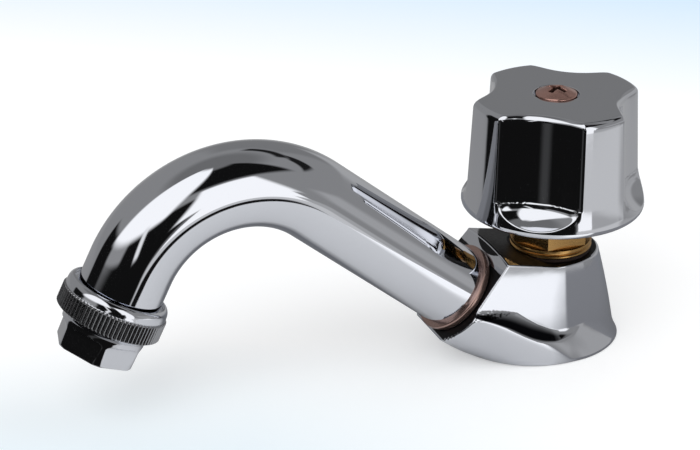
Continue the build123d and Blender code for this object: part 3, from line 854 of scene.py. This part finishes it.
# A hexagon has a corner every 60 degrees, so 30 degrees turn a corner into the middle of a flat.
NOZZLE_TURN = math.radians(13 - 30)
FLAT_CORNER, END_EDGE = 0.15, 0.45
nozzle_end = COLLAR_HEIGHT + NOZZLE_LENGTH
flat_start = nozzle_end - FLAT_LENGTH
flats = ACROSS_FLATS / 2 / np.cos((collar_angles - NOZZLE_TURN) % (math.pi / 3) - math.pi / 6)


def nozzle_radius(height):
    """The nozzle tapers a little towards its end."""
    return NOZZLE_TOP + (NOZZLE_END - NOZZLE_TOP) * (height - COLLAR_HEIGHT) / NOZZLE_LENGTH


# Under the collar a small chamfer and a hollow lead down to the nozzle.
for radius, height in (
    (SHOULDER_RADIUS - 0.2, COLLAR_HEIGHT + 0.1), (NOZZLE_TOP + 0.5, COLLAR_HEIGHT + 1.15),
    (NOZZLE_TOP + 0.1, COLLAR_HEIGHT + 1.4),
):
    housing_rows.append(collar_row(radius, height))
for height in (COLLAR_HEIGHT + 1.7, flat_start - 0.4, flat_start):
    housing_rows.append(collar_row(nozzle_radius(height), height))
# The cutter is round, so each flat runs out upwards in a quarter circle.
runout_heights = flat_start + FLAT_RUNOUT * np.linspace(0.02, 1, 10)
for height in (*runout_heights, nozzle_end - 2.5, nozzle_end - 0.5):
    still_to_go = max(flat_start + FLAT_RUNOUT - height, 0)
    runout = FLAT_RUNOUT - math.sqrt(FLAT_RUNOUT ** 2 - still_to_go ** 2)
    housing_rows.append(collar_row(smooth_min(flats + runout, nozzle_radius(height), FLAT_CORNER), height))
end_reach = smooth_min(flats, nozzle_radius(nozzle_end), FLAT_CORNER)
for radii, height in over_edge(end_reach, nozzle_end, END_EDGE, (20, 45, 70, 90)):
    housing_rows.append(collar_row(radii, height))
print("the nozzle ends at", round(nozzle_end, 1), "under the outlet")

# %% Rows inside the nozzle
MOUTH_RADIUS, MOUTH_CHAMFER, MOUTH_EDGE = 8.6, 8.75, 0.2
LIP, CARTRIDGE_RADIUS, CARTRIDGE_TOP = 2.0, 9.55, 4.5

for radius, height in (
    (MOUTH_CHAMFER, nozzle_end), (MOUTH_RADIUS, nozzle_end - MOUTH_EDGE), (MOUTH_RADIUS, nozzle_end - LIP),
    (CARTRIDGE_RADIUS, nozzle_end - LIP), (CARTRIDGE_RADIUS, CARTRIDGE_TOP), (HOUSING_BORE, CARTRIDGE_TOP),
    (HOUSING_BORE, -SHOULDER_RISE + BORE_CHAMFER),
):
    housing_rows.append(collar_row(radius, height))
print("the housing has", len(housing_rows), "rows")

# %% Extrude the housing
KNURLED_FROM = 0.1
housing = skin(housing_rows)
bmesh.ops.transform(housing, matrix=local_frame(outlet, OUTLET_SIDE, OUTLET_AXIS), verts=housing.verts)


def on_knurl(face):
    """Whether a face of the housing lies on the knurled band."""
    spoke = face.calc_center_median() - outlet
    height = spoke.dot(OUTLET_AXIS)
    radius = (spoke - height * OUTLET_AXIS).length
    return KNURLED_FROM < height < COLLAR_HEIGHT - KNURLED_FROM and radius > SHOULDER_RADIUS - RUNOUT_RADIUS


settle(
    housing, "nozzle", "fixed", ["aerator_housing"], chrome_on_turning, 38,
    chrome_on_knurl, on_knurl,
)

# %% [markdown]
# ## The headwork
# The brass insert that holds the valve shows in the gap under the knob: a round flange with a groove, and a
# hexagon with the usual chamfers at its corners. A turned body joined to a hexagon by a boolean would leave
# long thin faces. As a skin, the hexagon is only a row whose radius changes with the direction.

# %% Rows of the headwork's flange
HEAD_SIDES = 240
BORE_RADIUS, STOP_HEIGHT, HEAD_FOOT = 6.7, 27.0, 18.5
THREAD_RADIUS, THREAD_CHAMFER = 8.3, 0.3
FLANGE_RADIUS, FLANGE_FOOT, FLANGE_CHAMFER, HEXAGON_FOOT = 11.0, 27.3, 0.5, 29.8
# The flange's side with the groove round its middle: how far in it lies, and how high.
FLANGE_SIDE = (
    (0.15, 27.42), (0.0, 27.7), (0.05, 28.05), (0.3, 28.3), (0.45, 28.42), (0.3, 28.55), (0.05, 28.8),
    (0.0, 29.2), (0.15, 29.6),
)
HEXAGON_SEAT = 9.2
head_angles = np.linspace(0, math.tau, HEAD_SIDES, endpoint=False)


def head_rows_of(outline):
    """Round rows of the headwork, from an outline of radii and heights."""
    return [row_of(head_angles, radius, height) for radius, height in outline]


head_rows = head_rows_of((
    (BORE_RADIUS, HEAD_FOOT), (THREAD_RADIUS - THREAD_CHAMFER, HEAD_FOOT),
    (THREAD_RADIUS, HEAD_FOOT + THREAD_CHAMFER), (THREAD_RADIUS, FLANGE_FOOT),
    (FLANGE_RADIUS - FLANGE_CHAMFER, FLANGE_FOOT),
    *((FLANGE_RADIUS - inset, height) for inset, height in FLANGE_SIDE),
    (FLANGE_RADIUS - FLANGE_CHAMFER, HEXAGON_FOOT), (HEXAGON_SEAT, HEXAGON_FOOT),
))
print("the headwork's flange ends with row", len(head_rows))

# %% Rows of the headwork's hexagon and neck
HEXAGON_FLATS, HEXAGON_TOP, HEXAGON_CORNER = 19.0, 36.0, 0.25
# The chamfer cuts the corners at this radius at the top, and this much further out for each millimetre down.
CHAMFER_RADIUS, CHAMFER_SPREAD = 9.6, 1.6
NECK_RADIUS, NECK_FILLET, NECK_TOP = 7.0, 0.3, 42.0
GLAND_RADIUS, GLAND_FLOOR, SPINDLE_BORE = 6.0, 37.0, 5.1
hexagon = HEXAGON_FLATS / 2 / np.cos(head_angles % (math.pi / 3) - math.pi / 6)

# Rows crowd together near the top, where the chamfer cuts the corners.
for height in (HEXAGON_FOOT + 0.05, 30.3, 31.0, 32.0, 33.0, 34.0, 34.6, 35.0, 35.4, 35.7, 35.9):
    chamfer = CHAMFER_RADIUS + (HEXAGON_TOP - height) * CHAMFER_SPREAD
    head_rows.append(row_of(head_angles, smooth_min(hexagon, chamfer, HEXAGON_CORNER), height))
head_rows += head_rows_of((
    (HEXAGON_SEAT, HEXAGON_TOP), (NECK_RADIUS + NECK_FILLET, HEXAGON_TOP),
    (NECK_RADIUS, HEXAGON_TOP + NECK_FILLET), (NECK_RADIUS, NECK_TOP), (GLAND_RADIUS, NECK_TOP),
    (GLAND_RADIUS, GLAND_FLOOR), (SPINDLE_BORE, GLAND_FLOOR), (SPINDLE_BORE, STOP_HEIGHT),
    (BORE_RADIUS, STOP_HEIGHT), (BORE_RADIUS, HEAD_FOOT),
))
settle(skin(head_rows), "headwork", "fixed", ["bonnet"], turned_brass, 35)

# %% [markdown]
# ## The knob
# The form that takes most skill. It is cast hollow, with four lobes for the fingers. Four wide flutes run
# down between them, and each ends in a round scoop that breaks out just above the lower edge. It could be
# carved with booleans, but the flutes and the lobes meet in soft corners. So again each point is given by its
# distance from the axis: the smaller of the lobe's round and the larger of the two hollows, the flute's and
# the scoop's.

# %% Where a flute's cutter stands
KNOB_SIDES = 480
LOBES = 4
LOBE_ANGLE = math.radians(8)
# Farther out than any part of the knob, for directions that the cutter misses.
OUT_OF_REACH = 40.0
knob_angles = np.linspace(0, math.tau, KNOB_SIDES, endpoint=False)
first_flute = LOBE_ANGLE + math.pi / LOBES
from_flute = (knob_angles - first_flute + math.pi / LOBES) % (math.tau / LOBES) - math.pi / LOBES


def hollow(centre, radius):
    """Where a round cutter, standing this far out in front of each flute, meets each direction."""
    inside = radius ** 2 - (centre * np.sin(from_flute)) ** 2
    return np.where(inside > 0, centre * np.cos(from_flute) - np.sqrt(np.maximum(inside, 0)), OUT_OF_REACH)


print("the first flute lies at", round(math.degrees(first_flute), 1), "degrees")

# %% The knob's outer skin
KNOB_FOOT, KNOB_TOP = 39.0, 70.5
# The lobes' radius at the bottom and at the top of their taper, which starts over the foot.
LOBE_FOOT, LOBE_TOP, TAPER_START = 24.1, 22.7, 41.5
SKIRT_EDGE, SKIRT_FLARE, FLARE_TOP = 1.8, 0.21, 49.0
# The flutes' distance from the axis at the bottom and at the top, and the radius of their cutter.
FLUTE_FOOT, FLUTE_TOP, FLUTE_ARC = 18.7, 17.4, 20.4
SCOOP_RADIUS, SCOOP_DEPTH, SCOOP_CENTRE = 20.4, 7.9, 46.7
SCOOP_BLEND = 0.4
# A lobe's corner is soft along the flute and crisp round the scoop, and changes between two heights.
CORNER, BOWL_CORNER, CORNER_CHANGES = 2.6, 0.35, (43.5, 47.5)
MOST_FLARE = 1.2


def knob_reach(heights):
    """The outside: a tapered round with a slight flare, cut by hollow flutes that end in bowls."""
    taper = (heights - TAPER_START) / (KNOB_TOP - TAPER_START)
    flare = SKIRT_FLARE * np.clip((FLARE_TOP - heights) / (FLARE_TOP - TAPER_START), 0, MOST_FLARE) ** 2
    outside = LOBE_FOOT + (LOBE_TOP - LOBE_FOOT) * taper + flare
    flute = hollow(FLUTE_FOOT + (FLUTE_TOP - FLUTE_FOOT) * taper + FLUTE_ARC, FLUTE_ARC)
    drop = np.clip((SCOOP_CENTRE - heights) / SCOOP_DEPTH, 0, 1)
    bowl = hollow(FLUTE_FOOT + FLUTE_ARC, SCOOP_RADIUS * np.sqrt(1 - drop ** 2))
    bowl = np.where(heights < SCOOP_CENTRE, bowl, 0)
    corner = BOWL_CORNER + (CORNER - BOWL_CORNER) * soft_step(heights, *CORNER_CHANGES)
    reach = smooth_min(outside, smooth_max(flute, bowl, SCOOP_BLEND), corner)
    rounding = np.clip(1 - (heights - KNOB_FOOT) / SKIRT_EDGE, 0, 1)
    return reach - SKIRT_EDGE * (1 - np.sqrt(1 - rounding ** 2))


print("the knob is", LOBE_FOOT * 2, "wide at the foot and", LOBE_TOP * 2, "at the top")

# %% Heights of the knob's rows
# Rows follow the lower edge of each bowl, so that it stays a clean line, and are level from EVEN_FROM up to
# the rounded upper edge. First comes where the bowls' edge runs.
UNDER_BOWL, OVER_BOWL, EVEN_FROM = 0.2, 0.5, 48.5
KNOB_EDGE = 1.9
cutter_centre = FLUTE_FOOT + FLUTE_ARC
skirt_radius = LOBE_FOOT + SKIRT_FLARE
to_cutter = np.sqrt(
    skirt_radius ** 2 + cutter_centre ** 2 - 2 * skirt_radius * cutter_centre * np.cos(from_flute)
)
bowl_edge = SCOOP_CENTRE - SCOOP_DEPTH * np.sqrt(np.maximum(1 - (to_cutter / SCOOP_RADIUS) ** 2, 0))
knob_levels = [
    np.full(bowl_edge.shape, KNOB_FOOT + SKIRT_EDGE * (1 - math.cos(math.radians(bend))))
    for bend in range(0, 91, 15)
]
for low, high, steps in (
    (knob_levels[-1], bowl_edge - UNDER_BOWL, 4),
    (bowl_edge - UNDER_BOWL, bowl_edge + OVER_BOWL, 10),
    (bowl_edge + OVER_BOWL, EVEN_FROM, 34),
    (EVEN_FROM, KNOB_TOP - KNOB_EDGE, 24),
):
    knob_levels += rows_between(low, high, steps)
print("the knob's side has", len(knob_levels), "rows")

# %% Rows of the knob's outside
RECESS_RADIUS, RECESS_FLOOR, RECESS_EDGE = 6.0, 69.0, 0.25
knob_rows = [row_of(knob_angles, knob_reach(heights), heights) for heights in knob_levels]
shoulder_reach = knob_reach(knob_levels[-1])
for radii, height in over_edge(shoulder_reach, KNOB_TOP, KNOB_EDGE, range(10, 91, 10)):
    knob_rows.append(row_of(knob_angles, radii, height))
for share in np.linspace(0, 1, 12)[1:]:
    radii = (shoulder_reach - KNOB_EDGE) * (1 - share) + (RECESS_RADIUS + RECESS_EDGE) * share
    knob_rows.append(row_of(knob_angles, radii, KNOB_TOP))
print("the knob's outside has", len(knob_rows), "rows")

# %% Rows of the knob's inside
# The recess for the screw's head, the screw's hole, the splined hole in the hub, and the cavity round it,
# which opens a little towards the skirt's lower edge.
SCREW_HOLE, SPLINE_HOLE, SPLINE_TOP = 2.05, 4.05, 58.0
HUB_RADIUS, HUB_FOOT, HUB_FILLET = 8.0, 48.4, 0.3
CAVITY_RADIUS, CAVITY_TOP, CAVITY_CHAMFER = 15.2, 66.5, 1.0

for radius, height in (
    (RECESS_RADIUS + 0.07, KNOB_TOP - 0.07), (RECESS_RADIUS, KNOB_TOP - RECESS_EDGE),
    (RECESS_RADIUS, RECESS_FLOOR), (SCREW_HOLE, RECESS_FLOOR), (SCREW_HOLE, SPLINE_TOP),
    (SPLINE_HOLE, SPLINE_TOP), (SPLINE_HOLE, HUB_FOOT), (HUB_RADIUS, HUB_FOOT),
    (HUB_RADIUS, CAVITY_TOP - HUB_FILLET), (HUB_RADIUS + HUB_FILLET, CAVITY_TOP),
    (CAVITY_RADIUS - CAVITY_CHAMFER, CAVITY_TOP), (CAVITY_RADIUS, CAVITY_TOP - CAVITY_CHAMFER),
    (CAVITY_RADIUS, TAPER_START), (20.6, 40.0), (20.9, 39.8), (21.0, KNOB_FOOT),
):
    knob_rows.append(row_of(knob_angles, radius, height))
knob_rows.append(knob_rows[0])
print("the knob has", len(knob_rows), "rows")

# %% Extrude the knob
UNDER_THE_TOP, CAVITY_TOLERANCE = 67, 0.2


def in_cavity(face):
    """Whether a face of the knob lies inside its hollow."""
    middle = face.calc_center_median()
    outwards = middle.x * face.normal.x + middle.y * face.normal.y
    near_axis = math.hypot(middle.x, middle.y) < CAVITY_RADIUS + CAVITY_TOLERANCE
    return middle.z < UNDER_THE_TOP and (near_axis or outwards < 0)


# The knob's cavity is painted nearly black as shade.
settle(
    skin(knob_rows), "tap_knob", "handle", ["knob"], chrome_on_casting, 50,
    black_shade_finish, in_cavity,
)

# %% [markdown]
# ## The screw in the knob
# A domed, coppered screw with a cross recess. The recess could be cut with a boolean, but its walls slope as
# a driver's tip does, and its floor is soft. So the head is a skin of rings, from a tiny ring at its centre
# outwards, and a function lowers the points that lie inside the cross.

# %% The screw's head
SCREW_SIDES, CENTRE_RING = 256, 0.02
HEAD_RADIUS, HEAD_RIM, HEAD_DOME, HEAD_EDGE = 5.5, 1.5, 1.7, 0.6
CROSS_ARM, CROSS_WIDTH, CROSS_DEPTH = 2.9, 0.78, 2.2
CROSS_ANGLE = math.radians(28)
# The ends of the arms slope half as steeply as their sides, and the wall runs between two distances inside.
END_SLOPE, CROSS_CORNER, WALL = 0.5, 0.2, (-0.12, 0.5)
screw_angles = np.linspace(0, math.tau, SCREW_SIDES, endpoint=False)


def dome_height(radius):
    """Height of the domed head without its recess."""
    return RECESS_FLOOR + HEAD_RIM + HEAD_DOME * (1 - (radius / HEAD_RADIUS) ** 2)


def head_surface(radius):
    """Height of the domed head, with the cross recess."""
    x = np.abs(radius * np.cos(screw_angles - CROSS_ANGLE))
    y = np.abs(radius * np.sin(screw_angles - CROSS_ANGLE))
    long, short = np.maximum(x, y), np.minimum(x, y)
    inside = smooth_min(CROSS_WIDTH - short, (CROSS_ARM - long) * END_SLOPE, CROSS_CORNER)
    return dome_height(radius) - CROSS_DEPTH * soft_step(inside, *WALL)


print("the head stands", round(dome_height(0) - KNOB_TOP, 2), "over the knob's top")

# %% Extrude the screw
SHANK_RADIUS, SHANK_END = 2.0, 51.0
HEAD_RINGS = 56
# In the recess, a face lies over the head's foot and at least this far under the dome.
OVER_FLOOR, UNDER_DOME = 0.2, 0.45

screw_rows = []
for radius in np.linspace(CENTRE_RING, HEAD_RADIUS - HEAD_EDGE, HEAD_RINGS):
    screw_rows.append(row_of(screw_angles, radius, head_surface(radius)))
edge_height = dome_height(HEAD_RADIUS - HEAD_EDGE)
for degrees in (25, 50, 75, 90):
    bend = math.radians(degrees)
    radius = HEAD_RADIUS - HEAD_EDGE + HEAD_EDGE * math.sin(bend)
    screw_rows.append(row_of(screw_angles, radius, edge_height - HEAD_EDGE + HEAD_EDGE * math.cos(bend)))
for radius, height in (
    (HEAD_RADIUS, RECESS_FLOOR), (SHANK_RADIUS, RECESS_FLOOR), (SHANK_RADIUS, SHANK_END),
    (CENTRE_RING, SHANK_END),
):
    screw_rows.append(row_of(screw_angles, radius, height))


def in_cross(face):
    """Whether a face of the screw lies in its cross recess."""
    middle = face.calc_center_median()
    dome = dome_height(math.hypot(middle.x, middle.y))
    return RECESS_FLOOR + OVER_FLOOR < middle.z < dome - UNDER_DOME


# The cross recess gets its painted shade.
settle(
    skin(screw_rows, closed=False), "knob_screw_head", "handle", ["knob_screw"], coppered_steel,
    50, recess_shade_finish, in_cross,
)

# %% [markdown]
# ## The inner pieces
# They show only from below, or through the gap under the knob. Their construction mesh is right as it is,
# so each only gets the finish of the real piece, in its own material slots.

# %% Finishes for the inner pieces
inner_finishes = {
    "base_seal": seal_rubber, "bonnet_gasket": pressed_fibre, "gland_packing": plaited_packing,
    "gland_follower": turned_brass, "gland_nut": turned_brass, "spindle": turned_brass,
    "valve_washer": seal_rubber, "jumper": turned_brass, "jumper_nut": turned_brass,
    "spout_connector": turned_brass, "outlet_sleeve": chrome_on_turning, "aerator_washer": seal_rubber,
    "aerator_cartridge": white_acetal, "aerator_screens": screen_steel,
}
for node, finish in inner_finishes.items():
    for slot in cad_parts[node].material_slots:
        slot.material = finish
print("inner pieces:", len(inner_finishes))


# %% [markdown]
# ## The studio
# Chrome has no colour of its own: its look is the room it reflects. Real panels and cards could stand round
# the tap, but each would need its place, and would throw light and shadow too. So the room is drawn in the
# world's shader, by direction: a grey studio, one large soft panel high on the left, a tall window in front,
# black cards between them that give the metal its dark bands, and paler ground on the right. A card is a
# range of bearings and one of heights with soft edges, and a later card lies over the earlier ones. Only
# reflections see the room. The camera sees a very pale blue backdrop, and matt surfaces get an even light.

# %% The direction of a ray
def direction_angles(tree):
    """The bearing and the height of the direction that a ray leaves in, in degrees.

    A bearing of 0 is square to the tap on the camera's side, 90 behind the valve, and -90 past the spout."""
    place = add_node(tree, "ShaderNodeTexCoord").outputs["Generated"]
    parts = add_node(tree, "ShaderNodeSeparateXYZ", {"Vector": place}).outputs
    front = add_node(tree, "ShaderNodeMath", {0: parts["Y"], 1: -1.0}, operation="MULTIPLY").outputs["Value"]
    bearing = add_node(tree, "ShaderNodeMath", {0: parts["X"], 1: front}, operation="ARCTAN2")
    height = add_node(tree, "ShaderNodeMath", {0: parts["Z"]}, operation="ARCSINE")
    return [
        add_node(tree, "ShaderNodeMath", {0: angle.outputs["Value"]}, operation="DEGREES").outputs["Value"]
        for angle in (bearing, height)
    ]


# %% One card
def between(tree, value, low, high, soft):
    """1 between low and high and 0 outside, with edges as wide as soft."""
    rise = add_node(tree, "ShaderNodeMapRange", {
        "Value": value, "From Min": low - soft / 2, "From Max": low + soft / 2,
    }, interpolation_type="SMOOTHSTEP").outputs["Result"]
    fall = add_node(tree, "ShaderNodeMapRange", {
        "Value": value, "From Min": high - soft / 2, "From Max": high + soft / 2,
        "To Min": 1.0, "To Max": 0.0,
    }, interpolation_type="SMOOTHSTEP").outputs["Result"]
    return add_node(tree, "ShaderNodeMath", {0: rise, 1: fall}, operation="MULTIPLY").outputs["Value"]


def card(tree, angles, bearings, heights, soft, lean):
    """The mask of one card: 1 inside its ranges of bearings and of heights, and 0 outside.

    Soft gives how wide its upright edges and its level edges fade. Lean moves it to a lower bearing by that
    many degrees for each degree of height."""
    leant = add_node(tree, "ShaderNodeMath", {0: angles[1], 1: lean, 2: angles[0]}, operation="MULTIPLY_ADD")
    bearing = between(tree, leant.outputs["Value"], *bearings, soft[0])
    height = between(tree, angles[1], *heights, soft[1])
    return add_node(tree, "ShaderNodeMath", {0: bearing, 1: height}, operation="MULTIPLY").outputs["Value"]


# %% The cards of the studio
STUDIO_GREY, BLACK_CARD, SOFT_PANEL = 0.27, 0.006, 1.15
# Bearings, heights, softness across and upwards, grey value, lean.
CARDS = (
    # The ceiling, a little darker than the walls.
    ((-200, 200), (62, 100), (1, 16), 0.17, 0),
    # Behind on the right a darker wall, and on the right paler ones, down to the table's height.
    ((122, 172), (6, 48), (12, 12), 0.21, 0),
    ((84, 142), (-8, 17), (10, 8), 0.42, 0),
    ((38, 104), (-3, 9), (10, 6), 0.4, 0),
    # The ground past the board: behind, and then in front on the right, where it is palest.
    ((100, 190), (-60, 0), (14, 10), 0.38, 0),
    ((-190, -128), (-60, 2), (18, 8), 0.3, 0),
    ((20, 64), (-30, -11), (4, 3), 0.42, 0),
    ((3, 72), (-60, -17), (3, 1.5), 0.62, 0),
    ((66, 140), (-60, -18), (10, 4), 0.4, 0),
    # A black line under the window, which breaks the bright ground in the knob's bowl.
    ((4, 20.5), (-30, -22.5), (1.5, 1.5), BLACK_CARD, 0),
    # Two narrow black cards high up, for the thin dark arc along the bend.
    ((-14, 8), (37, 50), (6, 4), 0.012, -2.1),
    ((98, 148), (49.5, 56), (9, 3.5), 0.012, 0),
    # The large black card, from past the spout to the front, with a grey patch and a faint strip on it.
    ((-126, 4), (-60, 27), (5, 6), BLACK_CARD, 0),
    ((-92, -56), (10, 32), (8, 6), 0.3, 0),
    ((-58, -46), (-60, -4), (9, 6), 0.05, 0),
    # The black card over the window.
    ((-36, 56), (40, 78), (8, 7), BLACK_CARD, 0),
    # The soft panel, high on the left, and a thin strip of light under its right end.
    ((-103, -27), (23, 84), (8, 8), SOFT_PANEL, -0.25),
    ((-28, -23), (2, 27), (3, 6), 0.9, 0.5),
    # The window: two low panes, and the tall one.
    ((6, 23.5), (-17, -10), (1, 1.5), SOFT_PANEL, 0),
    ((6, 26), (-11, 2), (1, 2), SOFT_PANEL, 0),
    ((-2, 28), (-1, 37), (4, 4), SOFT_PANEL, 0.1),
)
print("the studio has", len(CARDS), "cards")

# %% Build the world
EVEN_LIGHT = 0.7
world = bpy.data.worlds.new("studio")
bpy.context.scene.world = world
world.use_nodes = True
room = world.node_tree
room.nodes.clear()
angles = direction_angles(room)
level = add_node(room, "ShaderNodeValue")
level.outputs["Value"].default_value = STUDIO_GREY
brightness = level.outputs["Value"]
for bearings, heights, soft, value, lean in CARDS:
    mask = card(room, angles, bearings, heights, soft, lean)
    brightness = add_node(room, "ShaderNodeMix", {
        "Factor": mask, "A": brightness, "B": value,
    }).outputs["Result"]
grey = add_node(room, "ShaderNodeCombineColor", {"Red": brightness, "Green": brightness, "Blue": brightness})
reflected = add_node(room, "ShaderNodeBackground", {"Color": grey.outputs["Color"], "Strength": 1.0})
soft_light = add_node(room, "ShaderNodeBackground", {"Color": linear("FFFFFF"), "Strength": EVEN_LIGHT})
backdrop = add_node(room, "ShaderNodeBackground", {"Color": linear("DBECFD"), "Strength": 1.0})
rays = add_node(room, "ShaderNodeLightPath").outputs
lit = add_node(room, "ShaderNodeMixShader", {
    0: rays["Is Glossy Ray"], 1: soft_light.outputs[0], 2: reflected.outputs[0],
})
seen = add_node(room, "ShaderNodeMixShader", {
    0: rays["Is Camera Ray"], 1: lit.outputs[0], 2: backdrop.outputs[0],
})
add_node(room, "ShaderNodeOutputWorld", {"Surface": seen.outputs[0]})
print("the room has", len(room.nodes), "nodes")

# %% [markdown]
# ## The table
# A pale floor. The camera sees it as white paper with a faint shadow, which turns a little blue far off and
# in the near corner. In the chrome it is an oval board round the tap, and past its edge the metal shows the
# room. The board is pale in front, under the spout, and grey beside and behind the tap: the grey is a
# painted shadow of the tap. A strip of the board glows in reflections only: that is the bright window in the
# body's side. One plain colour would be simpler, but the tube's underside and the foot reflect little else
# than this board. Places on it are in metres from the valve axis.

# %% Helpers for the board
paper, paper_tree, paper_output = new_finish("pale_board")
on_floor = add_node(paper_tree, "ShaderNodeTexCoord").outputs["Object"]


def ramp_along(direction, start, end):
    """0 to 1 along a direction on the floor, between two distances from the valve axis in metres."""
    along = add_node(
        paper_tree, "ShaderNodeVectorMath", {0: on_floor, 1: direction}, operation="DOT_PRODUCT"
    )
    return add_node(paper_tree, "ShaderNodeMapRange", {
        "Value": along.outputs["Value"], "From Min": start, "From Max": end,
    }).outputs["Result"]


def tone_between(share, first, second, **settings):
    """A tone that goes from the first to the second with share. A tone is a hex colour or another tone."""
    first, second = (linear(tone) if isinstance(tone, str) else tone for tone in (first, second))
    return add_node(paper_tree, "ShaderNodeMix", {
        "Factor": share, "A": first, "B": second,
    }, data_type="RGBA", **settings).outputs[2]


# %% The oval board in reflections
BOARD_CENTRE = (-0.012, 0.0)
BOARD_HALF = (0.112, 0.115)
BOARD_FADE = (0.97, 1.03)
centred = add_node(paper_tree, "ShaderNodeMapping", {
    "Vector": on_floor, "Location": (-BOARD_CENTRE[0] / BOARD_HALF[0], 0, 0),
    "Scale": (1 / BOARD_HALF[0], 1 / BOARD_HALF[1], 0),
})
distance = add_node(paper_tree, "ShaderNodeVectorMath", {0: centred.outputs["Vector"]}, operation="LENGTH")
board = add_node(paper_tree, "ShaderNodeMapRange", {
    "Value": distance.outputs["Value"], "From Min": BOARD_FADE[0], "From Max": BOARD_FADE[1],
    "To Min": 1.0, "To Max": 0.0,
}, interpolation_type="SMOOTHSTEP").outputs["Result"]
paper_rays = add_node(paper_tree, "ShaderNodeLightPath").outputs
not_mirrored = add_node(paper_tree, "ShaderNodeMath", {
    0: 1.0, 1: paper_rays["Is Glossy Ray"],
}, operation="SUBTRACT").outputs[0]
shown = add_node(paper_tree, "ShaderNodeMath", {0: board, 1: not_mirrored}, operation="MAXIMUM").outputs[0]
print("the board is", 2 * BOARD_HALF[0], "by", 2 * BOARD_HALF[1], "m")

# %% Tones of the paper and the board
# Directions on the floor. The first three are the camera's: to its far right, away from it, and across.
FAR_RIGHT, AWAY, ACROSS = (0.615, 0.831, 0), (0.369, 0.929, 0), (0.929, -0.369, 0)
FROM_SPOUT, ASKEW, BACKWARDS, FORWARDS = (1, 0, 0), (1, 0.55, 0), (0, 1, 0), (0, -1, 0)

# What the camera sees: white, then bluish far off, and also towards the near left corner.
far_tint = tone_between(ramp_along(FAR_RIGHT, 0.175, 0.298), "FFFFFF", "D6E9FD")
near_corner = add_node(paper_tree, "ShaderNodeMath", {
    0: ramp_along(AWAY, -0.005, -0.063), 1: ramp_along(ACROSS, 0.022, -0.078),
}, operation="MULTIPLY").outputs["Value"]
paper_tint = tone_between(near_corner, far_tint, "E9F2F7")
seen_tone = tone_between(1.0, paper_tint, "D4D5D6", blend_type="MULTIPLY")

# What the chrome sees: the board's tone, grey beside and behind the tap as its painted shadow, and its glow
# in a strip in front of the body.
side_tone = tone_between(ramp_along(ASKEW, -0.018, -0.009), "D8D9DA", "86878A")
board_tone = tone_between(ramp_along(BACKWARDS, 0.0, 0.016), side_tone, "84868A")

far_glow = tone_between(ramp_along(FORWARDS, 0.040, 0.062), "383838", "B4B4B4")
right_glow = tone_between(ramp_along(ASKEW, -0.018, -0.011), far_glow, "000000")
board_glow = tone_between(ramp_along(FROM_SPOUT, -0.024, -0.008), "000000", right_glow)
print("the board's tones are mixed by", len(paper_tree.nodes), "nodes so far")

# %% The table's surface
PAPER_GLOW = 0.4
glow = add_node(paper_tree, "ShaderNodeEmission", {
    "Color": board_glow, "Strength": paper_rays["Is Glossy Ray"],
})
matt_board = add_node(paper_tree, "ShaderNodeBsdfDiffuse", {"Color": board_tone})
lit_board = add_node(paper_tree, "ShaderNodeAddShader", {0: matt_board.outputs[0], 1: glow.outputs[0]})
matt_paper = add_node(paper_tree, "ShaderNodeBsdfDiffuse", {"Color": seen_tone})
white = add_node(paper_tree, "ShaderNodeEmission", {"Color": paper_tint, "Strength": PAPER_GLOW})
seen_paper = add_node(paper_tree, "ShaderNodeAddShader", {0: matt_paper.outputs[0], 1: white.outputs[0]})
by_ray = add_node(paper_tree, "ShaderNodeMixShader", {
    0: paper_rays["Is Camera Ray"], 1: lit_board.outputs[0], 2: seen_paper.outputs[0],
})
clear = add_node(paper_tree, "ShaderNodeBsdfTransparent")
surface = add_node(paper_tree, "ShaderNodeMixShader", {0: shown, 1: clear.outputs[0], 2: by_ray.outputs[0]})
paper_tree.links.new(surface.outputs[0], paper_output.inputs["Surface"])
print("the table's finish has", len(paper_tree.nodes), "nodes")

# %% The table
TABLE_HALF = 4.0
table_bm = bmesh.new()
bmesh.ops.create_grid(table_bm, x_segments=1, y_segments=1, size=TABLE_HALF)
table_mesh = bpy.data.meshes.new("table")
table_bm.to_mesh(table_mesh)
table_bm.free()
table_mesh.materials.append(paper)
table = bpy.data.objects.new("table", table_mesh)
bpy.context.scene.collection.objects.link(table)

# %% [markdown]
# ## The lamps
# The world's even light throws hardly any shadow. Two large, weak lamps above, one from each side, give the
# tap its faint shadow on the paper. They are hidden from reflections, because the room already draws the
# panels that the chrome should show.

# %% The lamps
LAMPS_LOOK_AT = Vector((-0.05, 0, 0))
for name, place, size, power in (
    ("soft_lamp_left", (-0.7, -0.6, 1.1), 0.9, 6.0),
    ("soft_lamp_right", (0.8, -0.3, 0.9), 0.7, 3.0),
):
    lamp = bpy.data.objects.new(name, bpy.data.lights.new(name, "AREA"))
    lamp.data.size = size
    lamp.data.energy = power
    lamp.location = place
    lamp.rotation_euler = (Vector(place) - LAMPS_LOOK_AT).to_track_quat("Z", "Y").to_euler()
    lamp.visible_glossy = False
    bpy.context.scene.collection.objects.link(lamp)
    print(name, "gives", power, "W")
